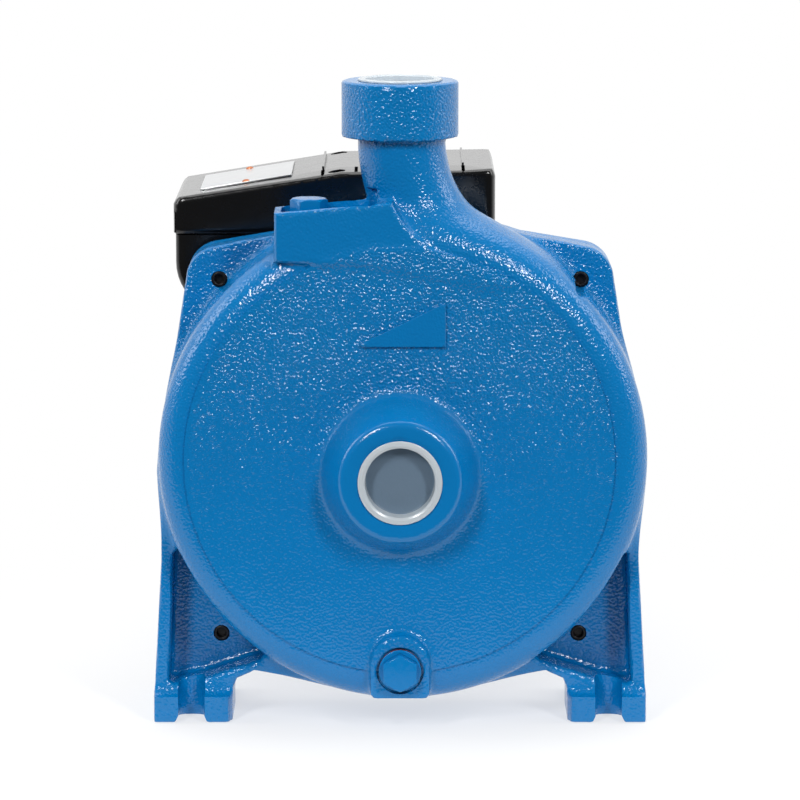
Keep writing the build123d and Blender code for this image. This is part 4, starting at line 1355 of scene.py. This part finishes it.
# ---------------------------------------------------------------- plugs and caps
@dataclass
class PipePlugs:
    """The hexagon-head priming and drain plugs, each on a fibre washer."""

    flats: float = 12.5
    head: float = 6.7
    collar_radius: float = 8.0
    collar: float = 1.2
    shank_radius: float = 5.3
    shank: float = 9.0
    washer: float = 1.3
    washer_bore: float = 5.82
    segments: int = 72
    priming_seat: tuple[float, float, float] = (-34.1, -14.0, 194.8)
    priming_turn: float = 6.0
    drain_seat: tuple[float, float, float] = (0.0, -25.0, 24.6)
    drain_turn: float = 30.0

    def plug(self, name: str, place: Matrix, material: bpy.types.Material) -> bpy.types.Object:
        """One plug: a chamfered hexagon on a round collar, with a threaded shank.

        Args:
            name: Name of the piece.
            place: Where the washer's top is, and how the plug is turned.
            material: The piece's material.

        Returns:
            The finished plug.
        """
        hexagon = self.flats / math.sqrt(3)
        corners = [math.radians(360 * k / HEXAGON) for k in range(HEXAGON)]
        outline = [(hexagon * math.cos(angle), hexagon * math.sin(angle)) for angle in corners]
        head = prism(name, outline, 0.4, self.head, Matrix.Identity(4), 0.35, material)
        dome = Turned(eased([(0, 0), (hexagon + 0.2, 0), (hexagon + 0.2, self.head - 1.1),
                             (self.flats / 2 - 0.1, self.head), (0, self.head)], [0, 0, 0.4, 0.4, 0]),
                      segments=self.segments).piece("dome", material)
        trim = head.modifiers.new("trim", "BOOLEAN")
        trim.operation = "INTERSECT"
        trim.solver = "EXACT"
        trim.object = dome
        apply_modifiers(head)
        bpy.data.objects.remove(dome)
        base = Turned(eased([(0, -self.shank), (self.shank_radius - 0.8, -self.shank),
                             (self.shank_radius, -self.shank + 0.8), (self.shank_radius, 0.0),
                             (self.collar_radius, 0.0), (self.collar_radius, self.collar), (0, self.collar)],
                            [0, 0, 0, 0, 0.2, 0.4, 0]), segments=self.segments).piece("base", material)
        thread = thread_tree().run("ridge", [(Vector((0, 0, -self.shank + 1.2)), Euler())], material,
                                   Turns=5.4, Radius=self.shank_radius * MM,
                                   Length=(self.shank - 2.0) * MM, Ridge=0.55 * MM)
        join(head, base, thread)
        head.data.transform(Matrix.Translation(place.translation * MM) @ place.to_3x3().to_4x4())
        return tidy_mesh(head)

    def build(self, palette: Palette) -> None:
        """Makes both plugs and both washers.

        Args:
            palette: The materials of every slot.
        """
        ring = eased([(self.washer_bore, 0.0), (self.collar_radius, 0.0), (self.collar_radius, self.washer),
                      (self.washer_bore, self.washer)], [0.2, 0.35, 0.35, 0.2])
        for name, axis, seat, spin in (("priming", Axis.UP, self.priming_seat, self.priming_turn),
                                       ("drain", Axis.FRONT, self.drain_seat, self.drain_turn)):
            turn = axis.turn() @ Matrix.Rotation(math.radians(spin), 4, "Z")
            lift = turn @ Vector((0, 0, self.washer))
            place = Matrix.Translation(Vector(seat) + lift) @ turn
            plug = self.plug(f"{name}_hexagon_plug", place, palette["plug_paint"])
            settle(plug, f"{name}_plug", "plug_paint", f"{name}_plug")
            washer = Turned(ring, axis, seat, self.segments)
            settle(washer.piece(f"{name}_fibre_washer", palette["washer_fibre"]), f"{name}_seal",
                   "washer_fibre", f"{name}_washer")


@dataclass
class PortCaps:
    """The two translucent cups that close the ports in transport."""

    cup_radius: float = 15.15
    lip_radius: float = 15.8
    inner_radius: float = 12.8
    floor: float = -5.6
    depth: float = 7.2
    lip: float = 1.0
    suction_seat: tuple[float, float, float] = (0.0, -42.0, SHAFT_Z)
    discharge_seat: tuple[float, float, float] = (0.0, 0.0, 245.7)

    def build(self, palette: Palette) -> None:
        """Makes a cup for each port, mouth outwards.

        Args:
            palette: The materials of every slot.
        """
        profile = eased([(0.0, -self.depth), (self.cup_radius, -self.depth), (self.cup_radius, 0.0),
                         (self.lip_radius, 0.0), (self.lip_radius, self.lip - 0.3),
                         (self.inner_radius + 1.3, self.lip), (self.inner_radius + 0.3, self.lip - 0.5),
                         (self.inner_radius, self.floor), (0.0, self.floor)],
                        [0, 1.4, 0.1, 0.2, 0.3, 0.6, 0.4, 0.7, 0])
        for name, axis, centre in (("suction", Axis.FRONT, self.suction_seat),
                                   ("discharge", Axis.UP, self.discharge_seat)):
            cup = Turned(profile, axis, centre).piece(f"{name}_port_cup", palette["cap_plastic"])
            # The floor faces take the dark floor material: painted shade of the port behind the thin floor.
            cup.data.materials.append(palette["cap_floor"])
            inward = axis.turn().inverted()
            for face in cup.data.polygons:
                local = inward @ (face.center / MM - Vector(centre))
                if math.hypot(local.x, local.y) < self.inner_radius - 0.05 and local.z > self.floor - 0.2:
                    face.material_index = 1
            settle(cup, f"{name}_cap", "cap_plastic", f"{name}_cap")


# ---------------------------------------------------------------- terminal box
@dataclass
class TerminalBox:
    """The moulded terminal box on top of the motor: lid, base, blank plate and rivets."""

    left: float = -88.5
    right: float = 37.6
    front: float = 40.0
    back: float = 116.0
    split: float = 182.0
    top: float = 208.0
    wall: float = 2.5
    lid_break: float = -23.0
    left_top: float = 197.0
    facet_slope: float = 0.0594
    facet_y: float = 56.0
    screw_x: float = -24.5
    slits: tuple[float, ...] = (-30.0, -17.0, 24.5)
    ribs: Point = (-30.0, 24.5)
    rib_tops: Point = (206.35, 207.85)
    rib: Point = (0.8, 1.2)
    plate: tuple[float, float, float, float] = (-60.0, 76.0, 36.0, 48.0)
    plate_thickness: float = 0.8
    rivet_offset: float = 22.4
    rivet_start: float = -2.6
    step: float = 1.15
    lid_step: float = 0.9
    margin: float = 2.0
    lid_heights: Point = (179.0, 211.0)
    base_heights: Point = (148.6, 184.0)
    fine_reach: float = 1.4
    fine_step: float = 0.4
    corner: float = 4.5
    top_edge: float = 2.4
    facet_edge: float = 1.2
    facet_corners: tuple[float, ...] = (-88.0, -30.0, 24.5, 37.0)
    crown: float = 0.8
    crown_run: float = 58.0
    screw_inset: float = 6.5
    lid_pillar: float = 5.0
    screw_recess: float = 3.3
    screw_bore: float = 1.9
    plate_gap: float = 0.5
    plate_sink: float = 0.55
    slit_width: float = 1.3
    slit_depth: float = 1.9
    base_low: float = 151.0
    base_shallow: float = 164.5
    base_top: float = 192.0
    base_bend: float = 20.0
    base_step: Point = (-54.0, -50.0)
    bend_steps: int = 12
    cable_hole: tuple[float, float, float] = (8.0, 174.6, 5.9)
    wire_hole: tuple[float, float, float] = (0.0, 70.0, 8.0)
    base_pillar: float = 4.0

    def slope(self) -> float:
        """How much the lid's left part rises for each millimetre to the right."""
        return (self.top - self.crown - self.left_top) / (self.lid_break - self.left - 3)

    def pillars(self, x: Numbers, y: Numbers) -> Numbers:
        """Distance to the upright axes of the two lid screws."""
        middle, half = (self.front + self.back) / 2, (self.back - self.front) / 2
        return np.hypot(x - self.screw_x, np.abs(y - middle) - half + self.screw_inset)

    def lid_outline(self, inset: float) -> list[Point]:
        """The lid's front outline, drawn in by an inset.

        Args:
            inset: How far the outline is drawn in.

        Returns:
            The corners in order.
        """
        left, right, top = self.left + inset, self.right - inset, self.top - inset
        low = self.split - (1 if inset else 0)
        return [(left, low), (right, low), (right, top - 3), (right - 2, top),
                (self.lid_break, top - self.crown), (left + 3, self.left_top - inset),
                (left, self.left_top - 3 - inset)]

    def lid(self, x: Numbers, y: Numbers, z: Numbers) -> Numbers:
        """Signed distance to the lid.

        Args:
            x: Coordinates to the right.
            y: Coordinates towards the back.
            z: Coordinates upwards.

        Returns:
            The signed distance.
        """
        outer = polygon(x, z, self.lid_outline(0.0))
        plan = rectangle(x, y, (self.left, self.front), (self.right, self.back), self.corner)
        body = round_max(outer, plan, self.top_edge)
        edge = np.interp(x, self.facet_corners, (self.front, self.facet_y, self.facet_y, self.front))
        run = self.left_top + (np.minimum(x, self.lid_break) - self.left - 3) * self.slope()
        top = run + np.clip((x - self.lid_break) / self.crown_run, 0, 1) * self.crown
        facet = z - top + np.maximum(edge - y, 0.0) * self.facet_slope
        body = round_max(body, facet, self.facet_edge)
        outline = self.lid_outline(self.wall)
        inner = slab(polygon(x, z, outline), y, self.front + self.wall, self.back - self.wall)
        body = cut(body, inner)
        pillar = self.pillars(x, y)
        span = np.maximum(self.split + 1.2 - z, z - self.top + 3)
        body = np.minimum(body, np.maximum(pillar - self.lid_pillar, span))
        body = cut(body, np.maximum(pillar - self.screw_recess, self.split + 6 - z), 0.4)
        body = cut(body, np.maximum(pillar - self.screw_bore, z - self.top))
        centre_x, centre_y, long_x, long_y = self.plate
        half_x, half_y = long_x / 2 + self.plate_gap, long_y / 2 + self.plate_gap
        seat = rectangle(x, y, (centre_x - half_x, centre_y - half_y),
                         (centre_x + half_x, centre_y + half_y), 1.0)
        body = cut(body, np.maximum(seat, run - self.plate_sink - z))
        half = self.slit_width / 2
        for place in self.slits:
            slit = rectangle(x, y, (place - half, self.front + 2.0), (place + half, self.facet_y), 0.6)
            body = cut(body, np.maximum(slit, top - self.slit_depth - z))
        return body

    def base_outline(self) -> list[Point]:
        """The base's front outline, deeper on the left, with a round lower corner.

        Returns:
            The corners in order.
        """
        left, right, low, bend = self.left + 1.5, self.right - 1.0, self.base_low, self.base_bend
        arc = [(left + bend - bend * math.cos(a), low + bend - bend * math.sin(a))
               for a in np.linspace(0.0, math.pi / 2, self.bend_steps)]
        return [*arc, (self.base_step[0], low), (self.base_step[1], self.base_shallow),
                (right, self.base_shallow), (right, self.base_top), (left, self.base_top)]

    def base(self, x: Numbers, y: Numbers, z: Numbers) -> Numbers:
        """Signed distance to the base.

        Args:
            x: Coordinates to the right.
            y: Coordinates towards the back.
            z: Coordinates upwards.

        Returns:
            The signed distance.
        """
        flat = polygon(x, z, self.base_outline())
        body = np.maximum(slab(flat, y, self.front + 1.0, self.back - 1.0, 3.0), z - self.split)
        inset = self.wall + 1.0
        body = cut(body, slab(flat + self.wall, y, self.front + inset, self.back - inset))
        hole_x, hole_z, radius = self.cable_hole
        body = cut(body, np.maximum(np.hypot(x - hole_x, z - hole_z) - radius, self.back - 6 - y))
        hole_x, hole_y, radius = self.wire_hole
        body = cut(body, np.maximum(np.hypot(x - hole_x, y - hole_y) - radius, z - self.base_shallow - 3.5))
        pillar = self.pillars(x, y)
        span = np.maximum(self.base_shallow - z, z - self.split)
        body = np.minimum(body, np.maximum(pillar - self.base_pillar, span))
        return cut(body, np.maximum(pillar - self.screw_bore + 0.1, self.base_shallow + 4 - z))

    def on_slope(self) -> Matrix:
        """The place of the middle of the plate on the lid's slope."""
        height = self.left_top + (self.plate[0] - self.left - 3) * self.slope()
        tilt = Matrix.Rotation(-math.atan(self.slope()), 4, "Y")
        return Matrix.Translation((self.plate[0], self.plate[1], height)) @ tilt

    def mouldings(self, plastic: bpy.types.Material) -> None:
        """Makes the lid with its two ribs, and the base.

        Args:
            plastic: The material of both.
        """
        reach, around = self.fine_reach, self.margin
        fine = [(place - reach, place + reach, self.fine_step) for place in sorted(self.slits)]
        along = spaced(self.front - around, self.back + around, self.step)
        grid = (spaced(self.left - around, self.right + around, self.step, fine), along,
                spaced(*self.lid_heights, self.lid_step))
        lid = new_piece("terminal_lid_moulding", *Contour(self.lid, *grid).mesh(), plastic)
        middle = (self.facet_y + self.back) / 2 - 1
        seats = [(Vector((place, middle, height)), Euler())
                 for place, height in zip(self.ribs, self.rib_tops)]
        ribs = bar_tree().run("ribs", seats, plastic, Width=self.rib[0] * MM,
                              Length=(self.back - self.facet_y - 4) * MM, Height=self.rib[1] * MM)
        settle(join(lid, ribs), "pump_frame", "box_plastic", "terminal_box_lid")
        grid = (spaced(self.left - around, self.right + around, self.step), along,
                spaced(*self.base_heights, self.step))
        base = new_piece("terminal_base_moulding", *Contour(self.base, *grid).mesh(), plastic)
        settle(base, "pump_frame", "box_plastic", "terminal_box_base")

    def build(self, palette: Palette) -> None:
        """Makes the lid with its ribs, the base, the plate and its rivets.

        Args:
            palette: The materials of every slot.
        """
        self.mouldings(palette["box_plastic"])
        half_x, half_y = self.plate[2] / 2, self.plate[3] / 2
        outline = [(-half_x, -half_y), (half_x, -half_y), (half_x, half_y), (-half_x, half_y)]
        half = self.plate_thickness / 2
        plate = prism("blank_lid_plate", outline, -half, half, self.on_slope(), 0.2,
                      palette["plate_aluminium"])
        settle(plate, "pump_frame", "plate_aluminium", "lid_plate")
        turn = self.on_slope().to_euler()
        seats = [(self.on_slope() @ Vector((0, side * self.rivet_offset, self.rivet_start)), turn)
                 for side in (-1, 1)]
        rivets = run_stack("plate_rivet_pair", seats, palette["rivet_copper"],
                           [(ROUND, 0.8, 0.8, 3.0), (ROUND, 1.5, 1.4, 0.3), (ROUND, 1.4, 0.7, 0.4)])
        settle(rivets, "pump_frame", "rivet_copper", "lid_plate_rivets")


# ---------------------------------------------------------------- motor
@dataclass
class Motor:
    """The finned motor housing with its pads, the rear end shield and the ribbed gland nut."""

    bore: float = 53.0
    barrel: float = 57.5
    fin_tip: float = 65.0
    front: float = 44.0
    back: float = 168.0
    fin_span: tuple[float, float] = (52.0, 160.0)
    fin_thickness: float = 2.2
    fin_pitch: int = 10
    pad: tuple[float, float, float] = (32.0, 46.0, 112.0)
    foot_pad: tuple[float, float, float] = (19.0, 128.0, 160.0)
    gland: tuple[float, float, float] = (8.0, 116.0, 174.6)
    tie_rods: tuple[int, ...] = (45, 135, 225, 315)
    rod_clearance: int = 6
    root: float = 3.0
    fin_round: float = 0.5
    pad_depth: float = 12.0
    segments: int = 144
    grips: int = 16
    grip_size: tuple[float, float, float] = (1.2, 8.6, 0.9)
    grip_place: Point = (8.8, 6.85)
    gland_segments: int = 72
    shield: tuple[Point, ...] = ((9.2, 178.8), (9.2, 182.0), (65.0, 182.0), (65.0, 168.05), (52.9, 168.05),
                                 (52.9, 164.5), (48.0, 164.5), (48.0, 168.0), (47.0, 177.0), (30.0, 177.0),
                                 (26.0, 168.0), (26.0, 164.5), (20.05, 164.5), (20.05, 178.8))
    shield_radii: tuple[float, ...] = (0.3, 0.5, 2.2, 0.5, 0, 0.5, 0.5, 0, 1.5, 1.5, 0, 0.5, 0.4, 0)
    nut: tuple[Point, ...] = ((4.1, 13.5), (5.9, 13.5), (5.9, 4.0), (6.9, 4.0), (6.9, 14.2), (5.6, 17.0),
                              (4.1, 17.0))
    nut_radii: tuple[float, ...] = (0, 0, 0.3, 0.5, 1.2, 1.0, 0.4)

    def fins(self, paint: bpy.types.Material) -> bpy.types.Object:
        """Puts a bar on the barrel at every pitch that the tie rods leave free.

        Args:
            paint: The material of the fins.

        Returns:
            All fins as one piece, with their edges rounded.
        """
        seats = []
        length = self.fin_span[1] - self.fin_span[0]
        middle = (self.fin_span[0] + self.fin_span[1]) / 2
        height = self.fin_tip - self.barrel + self.root
        for angle in range(0, 360, self.fin_pitch):
            if min(abs(angle - rod) for rod in self.tie_rods) > self.rod_clearance:
                turn = Matrix.Rotation(math.radians(angle), 4, "Y")
                arm = turn @ Vector((0, 0, self.fin_tip - height / 2))
                seats.append((Vector((arm.x, middle, SHAFT_Z + arm.z)), turn.to_euler()))
        made = bar_tree().run("fins", seats, paint, Width=self.fin_thickness * MM, Length=length * MM,
                              Height=height * MM)
        bevel = made.modifiers.new("ease", "BEVEL")
        bevel.width = self.fin_round * MM
        bevel.segments = 2
        return apply_modifiers(made)

    def block(self, name: str, size: tuple[float, float, float], low: float, high: float, edge: float,
              paint: bpy.types.Material) -> bpy.types.Object:
        """Makes a pad that stands on the barrel.

        Args:
            name: Name of the piece.
            size: Half of its width, where it starts and where it ends along the shaft.
            low: Its lower face.
            high: Its upper face.
            edge: Radius of its edges.
            paint: The piece's material.

        Returns:
            The pad.
        """
        half, start, end = size
        outline = [(-half, start), (half, start), (half, end), (-half, end)]
        return prism(name, outline, low, high, Matrix.Identity(4), edge, paint)

    def housing(self, paint: bpy.types.Material) -> None:
        """Makes the barrel with its fins and pads, and the end shield.

        Args:
            paint: The material of both.
        """
        centre = (0.0, 0.0, SHAFT_Z)
        ring = eased([(self.bore, self.front), (self.barrel, self.front), (self.barrel, self.back),
                      (self.bore, self.back)], [0.3, 0.6, 0.6, 0.3])
        barrel = Turned(ring, Axis.BACK, centre, self.segments).piece("finned_housing", paint)
        pad = self.block("pad", self.pad, SHAFT_Z + self.barrel - self.pad_depth, SHAFT_Z + self.fin_tip,
                         1.2, paint)
        foot = self.block("foot", self.foot_pad, SHAFT_Z - self.fin_tip, SHAFT_Z - self.barrel + self.root,
                          0.8, paint)
        settle(join(barrel, pad, foot, self.fins(paint)), "pump_frame", "motor_paint", "motor_housing")
        shield = Turned(eased(self.shield, self.shield_radii), Axis.BACK, centre, self.segments)
        settle(shield.piece("turned_end_shield", paint), "pump_frame", "motor_paint", "rear_end_shield")

    def build(self, palette: Palette) -> None:
        """Makes the housing, the end shield and the gland nut.

        Args:
            palette: The materials of every slot.
        """
        self.housing(palette["motor_paint"])
        plastic = palette["box_plastic"]
        x, y, z = self.gland
        nut = Turned(eased(self.nut, self.nut_radii), Axis.BACK, self.gland, self.gland_segments)
        cap = nut.piece("gland_grip_nut", plastic)
        along, radius = self.grip_place
        seats = []
        for k in range(self.grips):
            turn = Matrix.Rotation(2 * math.pi * k / self.grips, 4, "Y")
            seats.append((Vector((x, y + along, z)) + turn @ Vector((0, 0, radius)), turn.to_euler()))
        width, length, height = (value * MM for value in self.grip_size)
        grips = bar_tree().run("grips", seats, plastic, Width=width, Length=length, Height=height)
        settle(join(cap, grips), "pump_frame", "box_plastic", "gland_nut")


# ---------------------------------------------------------------- studio
@dataclass
class Studio:
    """The pale floor, the soft lights and the camera."""

    camera_place: tuple[float, float, float] = (0.0, -1.642, 0.39366)
    camera_down: float = 9.3295
    lens: float = 196.87
    sensor: float = 36.0
    aim: tuple[float, float, float] = (0.0, 0.0, 0.12)
    floor_size: float = 8.0
    floor_front: float = 0.16
    floor_drop: float = 0.0002
    floor_colour: tuple[float, float, float, float] = (0.92, 0.92, 0.92, 1.0)
    floor_roughness: float = 0.9
    floor_specular: float = 0.1
    floor_fade: tuple[float, float, float, float] = (0.05, 0.34, 0.62, 1.0)
    world_fade: tuple[float, float, float, float] = (-0.5, 0.6, 0.1, 1.0)

    def softbox(self, name: str, place: tuple[float, float, float], width: float, height: float,
                power: float) -> None:
        """Adds a rectangular soft light that faces the object.

        Args:
            name: Name of the light.
            place: Its middle, in metres.
            width: Its width in metres.
            height: Its height in metres.
            power: Its power in watts.
        """
        light = bpy.data.lights.new(name, "AREA")
        light.shape = "RECTANGLE"
        light.size = width
        light.size_y = height
        light.energy = power
        lamp = bpy.data.objects.new(name, light)
        lamp.location = place
        facing = Vector(self.aim) - Vector(place)
        lamp.rotation_euler = facing.to_track_quat("-Z", "Y").to_euler()
        bpy.context.scene.collection.objects.link(lamp)

    def fade(self, tree: bpy.types.NodeTree, value: bpy.types.NodeSocket, span: Sequence[float],
             kind: str) -> bpy.types.NodeSocket:
        """Adds a ramp from one value to another.

        Args:
            tree: The node tree.
            value: The socket that the ramp reads.
            span: Where the ramp starts and ends, and its value at both.
            kind: How it runs between the two.

        Returns:
            The socket that carries the ramp.
        """
        ramp = tree.nodes.new("ShaderNodeMapRange")
        ramp.interpolation_type = kind
        for socket, number in zip(("From Min", "From Max", "To Min", "To Max"), span):
            ramp.inputs[socket].default_value = number
        tree.links.new(value, ramp.inputs["Value"])
        return ramp.outputs["Result"]

    def floor_material(self) -> bpy.types.Material:
        """Makes the floor's material, a pale matt one that fades to plain white far from the object.

        Returns:
            The new material.
        """
        material = bpy.data.materials.new("pale_floor")
        material.use_nodes = True
        tree = material.node_tree
        shader = tree.nodes["Principled BSDF"]
        glow = tree.nodes.new("ShaderNodeEmission")
        mix = tree.nodes.new("ShaderNodeMixShader")
        reach = tree.nodes.new("ShaderNodeVectorMath")
        reach.operation = "LENGTH"
        tree.links.new(tree.nodes.new("ShaderNodeTexCoord").outputs["Object"], reach.inputs[0])
        tree.links.new(self.fade(tree, reach.outputs["Value"], self.floor_fade, "SMOOTHSTEP"),
                       mix.inputs["Fac"])
        tree.links.new(shader.outputs["BSDF"], mix.inputs[1])
        tree.links.new(glow.outputs["Emission"], mix.inputs[2])
        tree.links.new(mix.outputs["Shader"], tree.nodes["Material Output"].inputs["Surface"])
        shader.inputs["Base Color"].default_value = self.floor_colour
        shader.inputs["Roughness"].default_value = self.floor_roughness
        shader.inputs["Specular IOR Level"].default_value = self.floor_specular
        return material

    def floor(self) -> None:
        """Makes the floor, a wide pale sheet just under the feet."""
        half, front = self.floor_size / 2, -self.floor_front
        mesh = bpy.data.meshes.new("pale_floor")
        mesh.from_pydata([(-half, front, 0), (half, front, 0), (half, half, 0), (-half, half, 0)], [],
                         [(0, 1, 2, 3)])
        mesh.materials.append(self.floor_material())
        ground = bpy.data.objects.new("pale_floor", mesh)
        ground.location.z = -self.floor_drop
        bpy.context.scene.collection.objects.link(ground)

    def world(self) -> None:
        """Makes the surroundings: white behind the object, dimmer in front of it."""
        world = bpy.data.worlds.new("studio")
        world.use_nodes = True
        tree = world.node_tree
        back = tree.nodes["Background"]
        direction = tree.nodes.new("ShaderNodeTexCoord")
        split = tree.nodes.new("ShaderNodeSeparateXYZ")
        tree.links.new(direction.outputs["Generated"], split.inputs["Vector"])
        ramp = self.fade(tree, split.outputs["Y"], self.world_fade, "LINEAR")
        seen = tree.nodes.new("ShaderNodeLightPath")
        brighter = tree.nodes.new("ShaderNodeMath")
        brighter.operation = "MAXIMUM"
        tree.links.new(ramp, brighter.inputs[0])
        tree.links.new(seen.outputs["Is Camera Ray"], brighter.inputs[1])
        tree.links.new(brighter.outputs["Value"], back.inputs["Strength"])
        back.inputs["Color"].default_value = (1.0, 1.0, 1.0, 1.0)
        bpy.context.scene.world = world

    def build(self) -> None:
        """Sets up the floor, the surroundings, the lights and the camera."""
        self.floor()
        self.world()
        self.softbox("key_left", (-0.72, -1.5, 1.1), 0.3, 0.55, 17.5)
        self.softbox("key_right", (0.8, -1.45, 1.02), 0.26, 0.55, 15.0)
        self.softbox("rim_left", (-1.5, 0.1, 0.9), 0.5, 1.0, 7.0)
        self.softbox("rim_right", (1.5, 0.1, 0.9), 0.5, 1.0, 7.0)
        self.softbox("overhead", (0.0, 0.5, 2.0), 2.2, 1.2, 18.0)
        data = bpy.data.cameras.new("camera")
        data.lens = self.lens
        data.sensor_width = self.sensor
        camera = bpy.data.objects.new("camera", data)
        camera.location = self.camera_place
        camera.rotation_euler = (math.radians(90 - self.camera_down), 0.0, 0.0)
        bpy.context.scene.collection.objects.link(camera)
        bpy.context.scene.camera = camera
        bpy.context.scene.view_settings.view_transform = "Standard"


def dress_nodes(palette: Palette) -> None:
    """Gives every carried-over CAD node the finish of its slot, and the bracket the motor's coat.

    Args:
        palette: The materials of every slot.
    """
    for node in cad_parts.values():
        palette.dress(node)
    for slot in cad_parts["motor_bracket"].material_slots:
        slot.material = palette["motor_paint"]


def main() -> None:
    """Builds the studio and every sub-assembly in order."""
    logging.basicConfig(level=logging.INFO, format="%(name)s: %(message)s")
    palette = Palette()
    Studio().build()
    dress_nodes(palette)
    for assembly in (PumpCasing(), CasingBolts(), PipePlugs(), PortCaps(), TerminalBox(), Motor()):
        assembly.build(palette)
        LOG.info("%s done", type(assembly).__name__)


if __name__ == "__main__":
    main()
